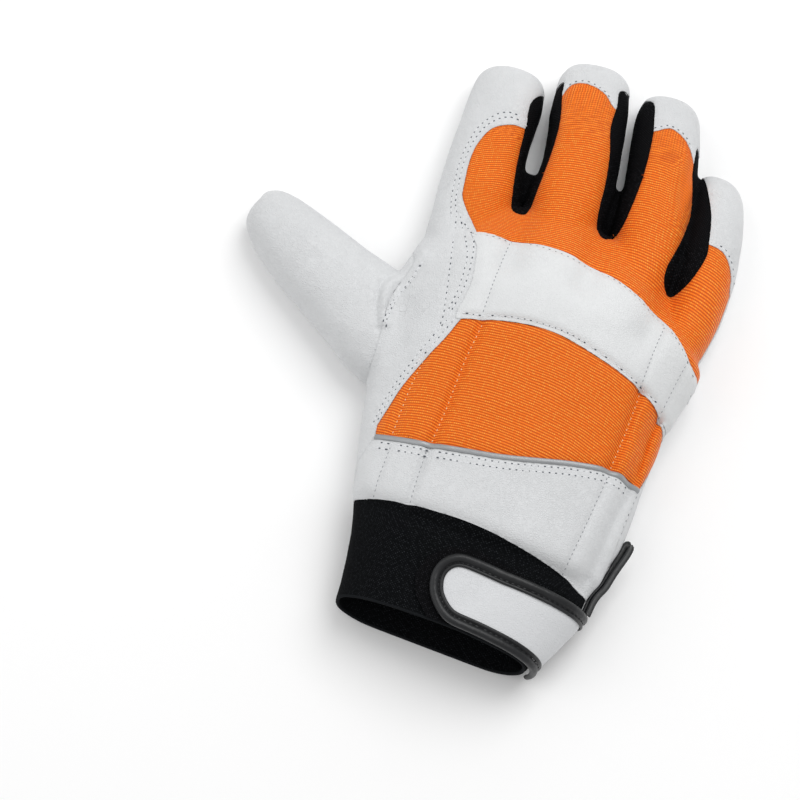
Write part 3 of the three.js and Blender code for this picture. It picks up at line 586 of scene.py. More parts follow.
class Skin:
    """A surface that is cut into panels. Each vertex also keeps how far it is from a seam."""

    def __init__(self, points, triangles):
        self.points = points
        self.triangles = triangles
        self.seam = np.full(len(points), 1.0)
        self.panels = {}

    def note_seam(self, side):
        """Takes a field's zero line as a seam, and measures distances to it over the surface."""
        a, b, c = (self.points[self.triangles[:, k]] for k in range(3))
        fa, fb, fc = (side[self.triangles[:, k]][:, None] for k in range(3))
        normal = np.cross(b - a, c - a)
        area = np.linalg.norm(normal, axis=1, keepdims=True) + 1e-18
        slope = np.cross(normal / area, fa * (c - b) + fb * (a - c) + fc * (b - a)) / area
        steep = np.zeros(len(self.points))
        count = np.full(len(self.points), 1e-9)
        for k in range(3):
            np.add.at(steep, self.triangles[:, k], np.linalg.norm(slope, axis=1))
            np.add.at(count, self.triangles[:, k], 1)
        steep = np.clip(steep / count, 0.25, 2)
        used = np.zeros(len(self.points), bool)
        used[self.triangles] = True
        away = np.abs(side) / steep
        self.seam[used] = np.minimum(self.seam, away)[used]

    def split(self, side):
        """Cuts the triangles along side = 0 and gives those where it is negative."""
        side = np.where(np.abs(side) < VOXEL * 0.02, np.copysign(VOXEL * 0.02, side), side)
        t = self.triangles
        inside = side[t] < 0
        count = inside.sum(1)
        mixed = np.flatnonzero((count == 1) | (count == 2))
        corners, lone_in = t[mixed], count[mixed] == 1
        lone = np.argmax(inside[mixed] == lone_in[:, None], axis=1)
        order = (lone[:, None] + np.arange(3)) % 3
        a, b, c = np.take_along_axis(corners, order, 1).T
        pairs = np.sort(np.vstack([np.column_stack([a, b]), np.column_stack([a, c])]), axis=1)
        keys, which = np.unique(pairs, axis=0, return_inverse=True)
        which = which.ravel()
        f0, f1 = side[keys[:, 0]], side[keys[:, 1]]
        share = (f0 / (f0 - f1))[:, None]
        fresh = self.points[keys[:, 0]] * (1 - share) + self.points[keys[:, 1]] * share
        seam = self.seam[keys[:, 0]] * (1 - share[:, 0]) + self.seam[keys[:, 1]] * share[:, 0]
        p = which[:len(a)] + len(self.points)
        q = which[len(a):] + len(self.points)
        self.points = np.vstack([self.points, fresh])
        self.seam = np.concatenate([self.seam, seam])
        tips = np.column_stack([a, p, q])
        rests = np.vstack([np.column_stack([p, b, c]), np.column_stack([p, c, q])])
        twice = np.concatenate([lone_in, lone_in])
        taken = np.vstack([t[count == 3], tips[lone_in], rests[~twice]])
        self.triangles = np.vstack([t[count == 0], tips[~lone_in], rests[twice]])
        return taken

    def take(self, name, field):
        """Cuts the panel where a field of the points is negative, with a gap to the rest."""
        self.note_seam(field(self.points))
        panel = self.split(field(self.points) + SEAM_GAP / 2)
        self.split(field(self.points) - SEAM_GAP / 2)
        if name:
            kept, strays = largest_patch(panel, len(self.points))
            self.panels[name] = kept
            self.triangles = np.vstack([self.triangles, strays])


def largest_patch(triangles, total):
    """The largest connected patch of triangles, and all the others."""
    label = np.arange(total)
    for _ in range(400):
        low = label[triangles].min(1)
        before = label.copy()
        for k in range(3):
            np.minimum.at(label, triangles[:, k], low)
        label = label[label]
        if np.array_equal(before, label):
            break
    root = label[triangles[:, 0]]
    names, count = np.unique(root, return_counts=True)
    main = root == names[np.argmax(count)]
    return triangles[main], triangles[~main]


def closed_outline(rows):
    return smooth_line(plan(rows), 6, closed=True)


def open_line(rows):
    return smooth_line(plan(rows), 8)


def level_over(line, x):
    """The y of a line that runs across the hand, at places x."""
    return np.interp(x, line[:, 0], line[:, 1])


# Which y along the hand has which share of the hand's table
SHARES = np.linspace(0, 1, 400)
SHARE_ALONG = rows_at(HAND_FORM, SHARES)[:, 0]


def share_at(y):
    """The share of the hand's table at a y of the row frame."""
    hand_y = np.asarray(y, float) - HAND_ORIGIN[1]
    return np.interp(hand_y, along_place(SHARE_ALONG), SHARES)


def line_round(line, turns):
    """Points where a line that runs across the hand in plan meets the hand, turn by turn."""
    y = np.full(len(turns), line[:, 1].mean())
    for _ in range(8):
        found = hand_surface(turns, share_at(y))
        y = level_over(line, found[:, 0])
    return found


def seat(tree, points):
    """The nearest places on a surface, with its normals there."""
    hits = [tree.find_nearest(Vector(p)) for p in points]
    places = np.array([tuple(hit[0]) for hit in hits])
    normals = np.array([tuple(hit[1]) for hit in hits])
    return places, normals


def drop(tree, flat):
    """The places right under plan points on top of the glove, with its normals there."""
    down = Vector((0, 0, -1))
    places, normals = [], []
    for x, y in flat:
        hit, normal, _, _ = tree.ray_cast(Vector((x, y, 2 * HAND_HEIGHT)), down)
        if hit is not None and hit.z > FOURCHETTE_SEAM_HEIGHT:
            places.append(tuple(hit))
            normals.append(tuple(normal))
    return np.array(places), np.array(normals)


def even_out(values, rounds=4):
    """Softens a run of directions or places without moving its ends."""
    values = values.copy()
    for _ in range(rounds):
        values[1:-1] = (values[:-2] + 2 * values[1:-1] + values[2:]) / 4
    return values


def ribbon(name, path, ups, profile, closed=False):
    """Sweeps a cross-section along a path. Its points are aside to the left of travel, and up."""
    if closed:
        travel = np.roll(path, -1, 0) - np.roll(path, 1, 0)
    else:
        travel = np.gradient(path, axis=0)
    travel /= np.linalg.norm(travel, axis=1, keepdims=True)
    left = np.cross(ups, travel)
    left /= np.linalg.norm(left, axis=1, keepdims=True)
    ups = np.cross(travel, left)
    profile = np.asarray(profile, float)
    points = (path[:, None, :] + left[:, None, :] * profile[None, :, :1]
              + ups[:, None, :] * profile[None, :, 1:2])
    count, corners = points.shape[:2]
    grid = np.arange(count * corners).reshape(count, corners)
    here, ahead = (grid, np.roll(grid, -1, 0)) if closed else (grid[:-1], grid[1:])
    faces = np.stack([here, np.roll(here, -1, 1), np.roll(ahead, -1, 1), ahead], 2).reshape(-1, 4)
    obj = make_mesh(name, points.reshape(-1, 3), faces)
    use_only(obj)
    bpy.ops.object.mode_set(mode="EDIT")
    bpy.ops.mesh.select_all(action="SELECT")
    if not closed:
        bpy.ops.mesh.fill_holes(sides=0)
        bpy.ops.mesh.select_all(action="SELECT")
    bpy.ops.mesh.normals_make_consistent(inside=False)
    bpy.ops.object.mode_set(mode="OBJECT")
    return obj


# Each panel: how far its edge stands up, how far it puffs up between its seams, and how deep and
# how far in its edge is rolled down
PANELS = {
    "fourchette_index_middle": (0.0, 0.0, 0.0007, 0.0016),
    "fourchette_middle_ring": (0.0, 0.0, 0.0007, 0.0016),
    "fourchette_ring_little": (0.0, 0.0, 0.0007, 0.0016),
    "knuckle_band": (0.0005, 0.0009, 0.0003, 0.0009),
    "finger_back_panel": (0.0, 0.0003, 0.0002, 0.0012),
    "cuff_band": (0.0, 0.0, 0.0004, 0.001),
    "thumb_leather": (0.0001, 0.0003, 0.0004, 0.0014),
    "hand_back_panel": (0.0, 0.0004, 0.0002, 0.0014),
    "wrist_panel": (0.0003, 0.0003, 0.0003, 0.0008),
    "palm_leather": (0.0003, 0.0002, 0.0004, 0.0008),
}

RIB_PITCH = 0.00108
YARN_PITCH = 0.0008
KNIT_PITCH = 0.0011
# The ribs' lines across the hand and across the fingers: slope and bow
RIBS_BACK = (-0.03, -1.85)
RIBS_FINGERS = (0.145, -3.35)
RIB_PULL = (0.002, 0.008)  # how far the quilt rows pull the ribs, and how far around
FINGER_REACH = 0.8  # how far aside a finger turns the cloth's lines, in halves of the finger
TIP_WEAVE = (0.66, 0.22)  # where on a finger the lengthwise lines start, and over what share
RIB_TURN = (0.8, 0.25)  # the same on the palm for the fingers' own ribs
CUFF_ROUND = 0.035  # metres of cuff for each radian round it

# The camera of the picture, and the lights: place, size and power
CAMERA_TARGET = (-0.0104, -0.0424, 0.024)
CAMERA_LIFT = 74
CAMERA_TURN = 21
CAMERA_AWAY = 0.917
CAMERA_LENS = 100
WORLD_LIGHT = 0.5
LIGHTS = [
    ("key_light", (0.35, 0.7, 1.3), 1.1, 13),
    ("side_light", (-0.9, -0.2, 0.9), 1.4, 5),
]


def smoothstep(x):
    x = np.clip(x, 0, 1)
    return x * x * (3 - 2 * x)


def sculpt(points, triangles):
    """Presses the folds and stitched rows, and lays the underside on the floor."""
    normals = vertex_normals(points, triangles)
    crown = np.clip(normals[:, 2] * 1.5, 0, 1)
    flat = points[:, :2].copy()
    drop_by = np.zeros(len(points))
    for x0, y0, x1, y1, reach, depth in FOLDS:
        start, end = plan([(x0, y0), (x1, y1)])
        away = segment_distance(flat, start, end) / (reach * HAND_HEIGHT)
        drop_by += depth * HAND_HEIGHT * np.exp(-away ** 2)
    for kind, rows in STITCH_ROWS:
        _, _, _, depth, width = STITCH_KINDS[kind]
        away = line_distance(flat, open_line(rows)) / width
        drop_by += depth * np.exp(-away ** 2)
    for reach, depth, rows in WRINKLES:
        away = line_distance(flat, open_line(rows), WRINKLE_MARGIN) / reach
        drop_by += depth * np.exp(-away ** 2)
    points[:, 2] -= crown * drop_by
    loose = np.array([noise.noise(Vector(p) * BROAD_WAVES)
                      + 0.5 * noise.noise(Vector(p) * SMALL_WAVES) for p in points])
    points += normals * (loose * LOOSENESS)[:, None]
    height = np.clip(points[:, 2] / FLOOR_SOFTNESS, -30, 200)
    points[:, 2] = FLOOR_SOFTNESS * np.log1p(np.exp(height))
    return points


def piping_line():
    """The middle line of the piping in plan, between its ends."""
    line = open_line(PIPING_LINE)
    low, high = plan([(end, 0) for end in PIPING_ENDS])[:, 0]
    return line[(line[:, 0] > low) & (line[:, 0] < high)]


def rim_field(points):
    """Negative on the hand's side of the leaning rim."""
    rim = -CUFF_LENGTH + (points[:, 2] - HAND_HEIGHT / 3) * math.tan(CUFF_RIM_LEAN)
    return rim - (points[:, 1] - HAND_ORIGIN[1])


def raised(outline, low):
    """The field of an outline in plan, above a height."""
    return lambda p: np.maximum(outline_side(p[:, :2], outline), low - p[:, 2])


def cut_panels(skin):
    """Cuts the skin into the glove's panels, from the fingers to the wrist."""
    for name, rows in FOURCHETTES.items():
        skin.take(name, raised(closed_outline(rows), FOURCHETTE_SEAM_HEIGHT))
    skin.take("knuckle_band", raised(closed_outline(KNUCKLE_BAND), SIDE_SEAM_HEIGHT))
    skin.take("finger_back_panel", raised(closed_outline(FINGER_BACK), SIDE_SEAM_HEIGHT))
    cuff_seam = open_line(CUFF_SEAM)
    skin.take("cuff_band", lambda p: p[:, 1] - level_over(cuff_seam, p[:, 0]))

    thumb_seam = open_line(THUMB_SEAM)
    far = np.array([thumb_seam[-1] + THUMB_WAY, [-1.0, thumb_seam[0, 1]]])
    thumb_side = np.vstack([thumb_seam, far])
    skin.take("thumb_leather", lambda p: outline_side(p[:, :2], thumb_side))

    piping = piping_line()
    skin.take(None, lambda p: np.maximum.reduce([
        np.abs(p[:, 1] - level_over(piping, p[:, 0])) - PIPING_WIDTH / 2,
        SIDE_SEAM_HEIGHT - p[:, 2], piping[0, 0] - p[:, 0], p[:, 0] - piping[-1, 0]]))
    back = np.vstack([piping, open_line(BACK_PANEL_SIDES)])
    skin.take("hand_back_panel", raised(back, SIDE_SEAM_HEIGHT))
    first, last = plan([(end, 0) for end in WRIST_HEM_ENDS])[:, 0]
    hem = cuff_seam[(cuff_seam[:, 0] > first) & (cuff_seam[:, 0] < last)]
    wrist = np.vstack([piping, plan(WRIST_OUTER_SIDE), hem[::-1] - (0, HEM_LAP),
                       plan(WRIST_THUMB_SIDE)])
    skin.take("wrist_panel", raised(wrist, SIDE_SEAM_HEIGHT))
    skin.panels["palm_leather"], _ = largest_patch(skin.triangles, len(skin.points))


def cloth_places(points):
    """Where a point lies in the cloth: across it, along it, and how near it is to a fingertip."""
    flat = points[:, :2]
    total = np.full(len(points), 1e-6)
    across = flat[:, 0] * total
    tip_near = np.zeros(len(points))
    for base, tip, _, half, _ in FINGERS.values():
        base, tip = plan([base, tip])
        length = np.linalg.norm(tip - base)
        axis = (tip - base) / length
        right = np.array([axis[1], -axis[0]])
        aside = (flat - base) @ right
        weight = np.exp(-(aside / (FINGER_REACH * half * PALM_HALF_WIDTH)) ** 2)
        share = (flat - base) @ axis / length
        across += weight * (aside + base[0])
        tip_near += weight * smoothstep((share - TIP_WEAVE[0]) / TIP_WEAVE[1])
        total += weight
    start = along_place(RIB_TURN[0]) + HAND_ORIGIN[1]
    finger = smoothstep((flat[:, 1] - start) / (RIB_TURN[1] * PALM_LENGTH))
    across = flat[:, 0] * (1 - finger) + across / total * finger
    hand_x = flat[:, 0] - HAND_ORIGIN[0]
    slope, bow = (RIBS_BACK[k] * (1 - finger) + RIBS_FINGERS[k] * finger for k in range(2))
    along = flat[:, 1] - hand_x * (slope + bow * hand_x)
    for kind, rows in STITCH_ROWS:
        if kind == "fabric_quilt":
            away = line_distance(flat, open_line(rows), PULL_MARGIN)
            along += RIB_PULL[0] * np.exp(-away / RIB_PULL[1])
    return np.column_stack([across, along, tip_near / total * finger])


def girth_places(points):
    """The same for the cuff: round it, and along it."""
    middle = HAND_ORIGIN[0]
    wide, tall = 0.7 * PALM_HALF_WIDTH, 0.4 * HAND_HEIGHT
    turn = np.arctan2((points[:, 2] - tall) / tall, (points[:, 0] - middle) / wide)
    return np.column_stack([turn * CUFF_ROUND, points[:, 1], np.zeros(len(points))])


def smooth_shading(obj, degrees=50):
    use_only(obj)
    bpy.ops.object.shade_smooth_by_angle(angle=math.radians(degrees))


def add_attribute(obj, name, values):
    vector = np.ndim(values) == 2
    made = obj.data.attributes.new(name, "FLOAT_VECTOR" if vector else "FLOAT", "POINT")
    made.data.foreach_set("vector" if vector else "value", np.float32(values).ravel())


def add_lining(obj, thickness):
    """Gives a sheet its thickness, inwards, without the slivers that its cutting left."""
    use_only(obj)
    bpy.ops.object.mode_set(mode="EDIT")
    bpy.ops.mesh.select_all(action="SELECT")
    bpy.ops.mesh.remove_doubles(threshold=SLIVER)
    bpy.ops.mesh.select_all(action="SELECT")
    bpy.ops.mesh.dissolve_degenerate(threshold=SLIVER / 4)
    bpy.ops.object.mode_set(mode="OBJECT")
    apply_modifier(obj, "SOLIDIFY", thickness=thickness, offset=-1, use_rim=True)
    points, _ = read_mesh(obj)
    points[:, 2] = np.maximum(points[:, 2], ABOVE_FLOOR)
    obj.data.vertices.foreach_set("co", points.ravel())
    smooth_shading(obj)


def finish_panel(skin, name):
    """One panel as a piece: its edge rolled down, raised between its seams, with a lining."""
    edge, puff, depth, reach = PANELS[name]
    used, faces = np.unique(skin.panels[name], return_inverse=True)
    faces = faces.reshape(-1, 3)
    points, seam = skin.points[used].copy(), skin.seam[used]
    normals = vertex_normals(points, faces)
    roll = depth * (1 - np.clip(seam / reach, 0, 1)) ** 2
    cloth = girth_places(points) if name == "cuff_band" else cloth_places(points)
    points += normals * (edge + puff * smoothstep(seam / SEAM_REACH) - roll)[:, None]
    points[:, 2] = np.maximum(points[:, 2], ABOVE_FLOOR)
    obj = make_mesh(f"{name}_sewn", points, faces)
    add_attribute(obj, "cloth", cloth)
    add_attribute(obj, "seam", np.clip(seam / SEAM_REACH, 0, 1))
    add_lining(obj, WALL)
    return obj, points, faces


def border_loop(triangles):
    """The vertices of the longest open edge of a patch, in order, with the patch on their left."""
    edges = np.vstack([triangles[:, [0, 1]], triangles[:, [1, 2]], triangles[:, [2, 0]]])
    size = edges.max() + 1
    lone = edges[~np.isin(edges[:, 0] * size + edges[:, 1], edges[:, 1] * size + edges[:, 0])]
    following = dict(map(tuple, lone))
    loops = []
    while following:
        start, ahead = following.popitem()
        loop = [start]
        while ahead in following:
            loop.append(ahead)
            ahead = following.pop(ahead)
        loops.append(loop)
    return max(loops, key=len)


def even_round(line, rounds):
    """Softens a closed line."""
    for _ in range(rounds):
        line = (np.roll(line, 1, 0) + 2 * line + np.roll(line, -1, 0)) / 4
    return line


def wrist_patch(points, triangles, outline, low, inset=0.0):
    """A patch of the wrist's skin inside an outline, above a height, set in from both."""
    near = (points[:, 1] < plan([(0, 0.1)])[0, 1]) & (points[:, 2] > low - 0.003)
    part = Skin(points, triangles[near[triangles].all(axis=1)])
    field = np.maximum(raised(outline, low)(part.points), rim_field(part.points) - SLIVER)
    taken = part.split(field + inset)
    taken, _ = largest_patch(taken, len(part.points))
    used, faces = np.unique(taken, return_inverse=True)
    return part.points[used], faces.reshape(-1, 3)


def lifted_piece(name, points, faces, lift, thickness):
    """A patch of the skin lifted off it, as a sheet with a thickness."""
    normals = vertex_normals(points, faces)
    obj = make_mesh(name, points + normals * lift, faces)
    add_attribute(obj, "seam", np.ones(len(points)))
    add_attribute(obj, "cloth", cloth_places(points))
    add_lining(obj, thickness)
    return obj


def make_binding(tree, points, faces):
    """The tab's bound edge: a fat outer bead, a stitched groove and a slim inner bead."""
    line = points[border_loop(faces)]
    low = line[:, 2] < TAB_LOW_END + LOW_EDGE
    first = np.flatnonzero(low & ~np.roll(low, -1))[0]
    line = np.roll(line, -first - 1, 0)
    line = line[:np.flatnonzero(line[:, 2] < TAB_LOW_END + LOW_EDGE)[0]]
    path = even_out(evenly(line, spacing=0.0012), rounds=6)
    path, ups = seat(tree, path)
    ups = even_out(ups, rounds=10)
    path = even_out(path, rounds=3) + ups * TAB_BASE
    profile = smooth_line(np.array(BINDING_PROFILE) / 1000, steps=3, closed=True)
    piece = ribbon("tab_edge_binding", path, ups, profile)
    smooth_shading(piece, degrees=60)
    return piece, path, ups


def make_piping(tree):
    """The reflective strip, a low rounded tape along its line."""
    turns = np.linspace(-0.3, math.pi + 0.3, 500)
    line = piping_line()
    path = line_round(open_line(PIPING_LINE), turns)
    path = path[(path[:, 2] > SIDE_SEAM_HEIGHT) & (path[:, 0] > line[0, 0])
                & (path[:, 0] < line[-1, 0])]
    path = even_out(evenly(path, spacing=0.0011), rounds=3)
    path, ups = seat(tree, path)
    path, ups = even_out(path, rounds=2), even_out(ups, rounds=6)
    half = PIPING_WIDTH / 2
    turns = np.linspace(0, math.pi, 9)
    crown = np.column_stack([half * np.cos(turns), PIPING_PROUD * np.sin(turns) ** 0.7 + 0.0001])
    profile = np.vstack([crown, [(-half, -PIPING_ROOT), (half, -PIPING_ROOT)]])
    piece = ribbon("piping_tape", path, ups, profile)
    smooth_shading(piece, degrees=60)
    return piece


def make_rim_hem(tree, line):
    """The turned hem round the mouth of the cuff."""
    path = even_round(evenly(np.vstack([line, line[:1]]), spacing=0.0015)[:-1], rounds=6)
    path, ups = seat(tree, path)
    ups = even_round(ups, rounds=8)
    path = path - ups * (WALL / 2)
    path[:, 2] = np.maximum(path[:, 2], HEM_RADIUS)
    turns = np.linspace(0, 2 * math.pi, 12, endpoint=False)
    profile = np.column_stack([np.cos(turns) * HEM_RADIUS * HEM_FLATNESS,
                               np.sin(turns) * HEM_RADIUS])
    piece = ribbon("cuff_rim_hem", path, ups, profile, closed=True)
    smooth_shading(piece, degrees=60)
    return piece


def make_hang_loop():
    """The strap at the little-finger edge: out from the tab, round its open end and back."""
    start = plan([TAB_OUTLINE[1]])[0, 1] + BINDING_HEIGHT - LOOP_TUCK
    rows = rows_at(LOOP_FORM, np.linspace(0, 1, 26))
    share = share_at(start + rows[:, 0] * LOOP_LENGTH)
    off = LOOP_CLEARANCE + STRAP_THICKNESS / 2
    apart = STRAP_THICKNESS + LOOP_LEG_GAP + rows[:, 1] * LOOP_EYE
    turn = np.zeros(len(rows))
    inner = np.array([hand_surface(turn[:1], share[k:k + 1], off)[0] for k in range(len(rows) - 1)])
    outer = np.array([hand_surface(turn[:1], share[k:k + 1], off + apart[k])[0]
                      for k in range(len(rows))])
    path = np.vstack([inner, outer[::-1]])
    path[:, 2] = inner[0, 2]
    path = even_out(evenly(path, spacing=0.0008), rounds=3)
    width = (-math.sin(LOOP_LEAN), 0, math.cos(LOOP_LEAN))
    ups = np.cross(np.gradient(path, axis=0), width)
    half, thick = STRAP_WIDTH / 2, STRAP_THICKNESS / 2
    profile = np.array([(half, -0.3), (half, 0.3), (0.9 * half, 1), (0.8 * half, 0.7),
                        (-0.8 * half, 0.7), (-0.9 * half, 1), (-half, 0.3), (-half, -0.3),
                        (-0.9 * half, -1), (-0.8 * half, -0.7), (0.8 * half, -0.7),
                        (0.9 * half, -1)]) * (1, thick)
    piece = ribbon("loop_strap", path, ups, profile)
    smooth_shading(piece, degrees=40)
    return piece


def thread_form():
    """One short thread along Z with round ends, as arrays."""
    bpy.ops.mesh.primitive_uv_sphere_add(segments=8, ring_count=6, radius=1)
    obj = bpy.context.object
    points, triangles = read_mesh(obj)
    bpy.data.objects.remove(obj)
    return points, triangles


def row_places(tree, line, pitch):
    """Where the stitches of a row sit: their middles, directions and normals."""
    flat = evenly(line, pitch)
    middles, normals = drop(tree, flat)
    travel = np.gradient(middles, axis=0)
    travel /= np.linalg.norm(travel, axis=1, keepdims=True) + 1e-12
    sides = np.cross(normals, travel)
    sides /= np.linalg.norm(sides, axis=1, keepdims=True) + 1e-12
    return middles, travel, sides, np.cross(travel, sides)


def sew(name, form, places, length, thick, flat_share, sink):
    """A piece of equal threads, one at each place; the needle holes' painted shade is made the same
    way.
    """
    points, triangles = form
    middles, travel, sides, ups = (np.vstack(part) for part in zip(*places))
    along = points[:, 2] * (length - thick) / 2 + np.tanh(points[:, 2] * 3) * thick / 2
    aside = points[:, 0] * thick / 2
    up = points[:, 1] * thick / 2 * flat_share - sink - (points[:, 2] ** 2) * thick * THREAD_BEND
    all_points = (middles[:, None] + travel[:, None] * along[None, :, None]
                  + sides[:, None] * aside[None, :, None] + ups[:, None] * up[None, :, None])
    steps = np.arange(len(middles))[:, None, None] * len(points)
    obj = make_mesh(name, all_points.reshape(-1, 3), (triangles[None] + steps).reshape(-1, 3))
    smooth_shading(obj, degrees=80)
    return obj


def beside_piping(distance):
    """A row of plan points that runs below the piping."""
    return piping_line()[:-2] - (0, PIPING_WIDTH / 2 + distance)


def sew_rows(tree, binding):
    """All the stitching of the glove."""
    form = thread_form()
    found = {kind: [] for kind in STITCH_KINDS}
    for kind, rows in STITCH_ROWS:
        found[kind].append(row_places(tree, open_line(rows), STITCH_KINDS[kind][1]))
    for distance in PIPING_ROWS:
        found["topstitch"].append(
            row_places(tree, beside_piping(distance), STITCH_KINDS["topstitch"][1]))
    pieces = {}
    for kind, places in found.items():
        length, _, thick, _, _ = STITCH_KINDS[kind]
        pieces[kind] = sew(f"{kind}_thread", form, places, length, thick, flat_share=0.75,
                           sink=THREAD_SINK)
    # painted shade: flat dark marks between the stitches, for the shade in the needle holes
    holes = []
    for kind in ("topstitch", "thumb_seam"):
        half = STITCH_KINDS[kind][1] / 2
        for middles, travel, sides, ups in found[kind]:
            holes.append((middles + travel * half, travel, sides, ups))
    pieces["holes"] = sew("needle_hole_shade", form, holes, *NEEDLE_HOLE, flat_share=0.12,
                          sink=-THREAD_SINK)
    path, ups = binding
    travel = np.gradient(path, axis=0)
    travel /= np.linalg.norm(travel, axis=1, keepdims=True)
    sides = np.cross(ups, travel)
    sides /= np.linalg.norm(sides, axis=1, keepdims=True)
    middles = path + sides * BINDING_GROOVE[0] + ups * BINDING_GROOVE[1]
    length, pitch, thick = BINDING_STITCH
    count = len(evenly(middles, pitch))
    keep = np.linspace(0, len(middles) - 1, count).round().astype(int)
    places = [(middles[keep], travel[keep], sides[keep], np.cross(travel, sides)[keep])]
    pieces["binding"] = sew("binding_thread", form, places, length, thick, flat_share=0.8, sink=0)
    return pieces


def add_node(tree, kind, feeds=(), **settings):
    """A node with its settings, and with values or other nodes' outputs in its sockets."""
    made = tree.nodes.new(f"ShaderNode{kind}")
    for name, value in settings.items():
        setattr(made, name, value)
    for place, feed in dict(feeds).items():
        if isinstance(feed, bpy.types.NodeSocket):
            tree.links.new(feed, made.inputs[place])
        else:
            made.inputs[place].default_value = feed
    return made


def work_out(tree, operation, first, second=0.0, clamp=False):
    made = add_node(tree, "Math", {0: first, 1: second}, operation=operation, use_clamp=clamp)
    return made.outputs[0]


def ease(tree, value, low, high, start=0.0, end=1.0):
    made = add_node(tree, "MapRange", {0: value, 1: low, 2: high, 3: start, 4: end},
                    interpolation_type="SMOOTHSTEP")
    return made.outputs[0]


def wave(tree, value, pitch):
    """Runs from 0 to 1 and back once in each pitch."""
    turned = work_out(tree, "MULTIPLY", value, 2 * math.pi / pitch)
    half = work_out(tree, "MULTIPLY", work_out(tree, "COSINE", turned), 0.5)
    return work_out(tree, "ADD", half, 0.5)


def new_group(name, inputs, outputs):
    tree = bpy.data.node_groups.new(name, "ShaderNodeTree")
    for socket, kind in inputs:
        tree.interface.new_socket(socket, in_out="INPUT", socket_type=f"NodeSocket{kind}")
    for socket, kind in outputs:
        tree.interface.new_socket(socket, in_out="OUTPUT", socket_type=f"NodeSocket{kind}")
    start = tree.nodes.new("NodeGroupInput")
    end = tree.nodes.new("NodeGroupOutput")
    return tree, start.outputs, end.inputs


def ribbed_weave():
    """Fine ribs across the hand, with a cross yarn, that turn to lengthwise lines at the tips."""
    tree, given, out = new_group("ribbed_weave", [("Cloth", "Vector")],
                                 [("Height", "Float"), ("Crown", "Float"), ("Gleam", "Float")])
    parts = add_node(tree, "SeparateXYZ", {0: given["Cloth"]}).outputs
    drift = add_node(tree, "TexNoise", {"Vector": given["Cloth"], "Scale": 70.0, "Detail": 1.0})
    shift = work_out(tree, "MULTIPLY", work_out(tree, "SUBTRACT", drift.outputs[0], 0.5), 0.0011)
    along = work_out(tree, "ADD", parts[1], shift)
    across = work_out(tree, "ADD", parts[0], shift)
    rib = wave(tree, along, RIB_PITCH)
    yarn = wave(tree, across, YARN_PITCH)
    line = wave(tree, across, 1.4 * YARN_PITCH)
    tip = work_out(tree, "MULTIPLY", parts[2], 0.75)
    crown = add_node(tree, "Mix", {0: tip, 2: rib, 3: line}).outputs[0]
    grain = work_out(tree, "MULTIPLY", yarn, 0.3)
    height = work_out(tree, "ADD", work_out(tree, "MULTIPLY", crown, 0.7), grain)
    patches = add_node(tree, "TexNoise", {"Vector": given["Cloth"], "Scale": 700.0, "Detail": 2.0})
    # Gleam: where painted highlights go, on the crests of rib and yarn, in patches
    gleam = work_out(tree, "MULTIPLY", ease(tree, patches.outputs[0], 0.4, 0.66),
                     ease(tree, work_out(tree, "MULTIPLY", crown, yarn), 0.3, 0.85))
    tree.links.new(height, out["Height"])
    tree.links.new(crown, out["Crown"])
    tree.links.new(gleam, out["Gleam"])
    return tree


def leather_grain():
    """Fine pebbles, with soft creases in patches."""
    tree, given, out = new_group("leather_grain", [("Place", "Vector")],
                                 [("Height", "Float"), ("Crease", "Float")])
    bend = add_node(tree, "TexNoise", {"Vector": given["Place"], "Scale": 260.0, "Detail": 2.0})
    moved = add_node(tree, "VectorMath", {0: bend.outputs[1], 1: (0.0016, 0.0016, 0.0016)},
                     operation="MULTIPLY")
    place = add_node(tree, "VectorMath", {0: given["Place"], 1: moved.outputs[0]},
                     operation="ADD").outputs[0]
    cells = add_node(tree, "TexVoronoi", {"Vector": place, "Scale": 1150.0},
                     feature="DISTANCE_TO_EDGE")
    pebble = ease(tree, cells.outputs[0], 0.0, 0.3)
    folds = add_node(tree, "TexVoronoi", {"Vector": place, "Scale": 420.0},
                     feature="DISTANCE_TO_EDGE")
    patches = add_node(tree, "TexNoise", {"Vector": given["Place"], "Scale": 38.0, "Detail": 2.0})
    where = ease(tree, patches.outputs[0], 0.5, 0.68)
    crease = work_out(tree, "MULTIPLY", ease(tree, folds.outputs[0], 0.0, 0.12, 1.0, 0.0), where)
    swell = add_node(tree, "TexNoise", {"Vector": given["Place"], "Scale": 110.0, "Detail": 3.0})
    height = work_out(tree, "ADD", work_out(tree, "MULTIPLY", pebble, 0.35),
                      work_out(tree, "MULTIPLY", swell.outputs[0], 1.2))
    height = work_out(tree, "SUBTRACT", height, work_out(tree, "MULTIPLY", crease, 0.25))
    tree.links.new(height, out["Height"])
    tree.links.new(crease, out["Crease"])
    return tree


def knit_loops():
    """A close diagonal knit, with painted glints: light specks where a yarn shines."""
    tree, given, out = new_group("knit_loops", [("Cloth", "Vector")],
                                 [("Height", "Float"), ("Speck", "Float")])
    parts = add_node(tree, "SeparateXYZ", {0: given["Cloth"]}).outputs
    rise = wave(tree, work_out(tree, "ADD", parts[0], parts[1]), KNIT_PITCH)
    fall = wave(tree, work_out(tree, "SUBTRACT", parts[0], parts[1]), KNIT_PITCH)
    loops = ease(tree, work_out(tree, "MULTIPLY", rise, fall), 0.15, 0.8)
    fuzz = add_node(tree, "TexNoise", {"Vector": given["Cloth"], "Scale": 900.0, "Detail": 2.0})
    bright = ease(tree, fuzz.outputs[0], 0.4, 0.7)
    tree.links.new(loops, out["Height"])
    tree.links.new(work_out(tree, "MULTIPLY", bright, loops), out["Speck"])
    return tree


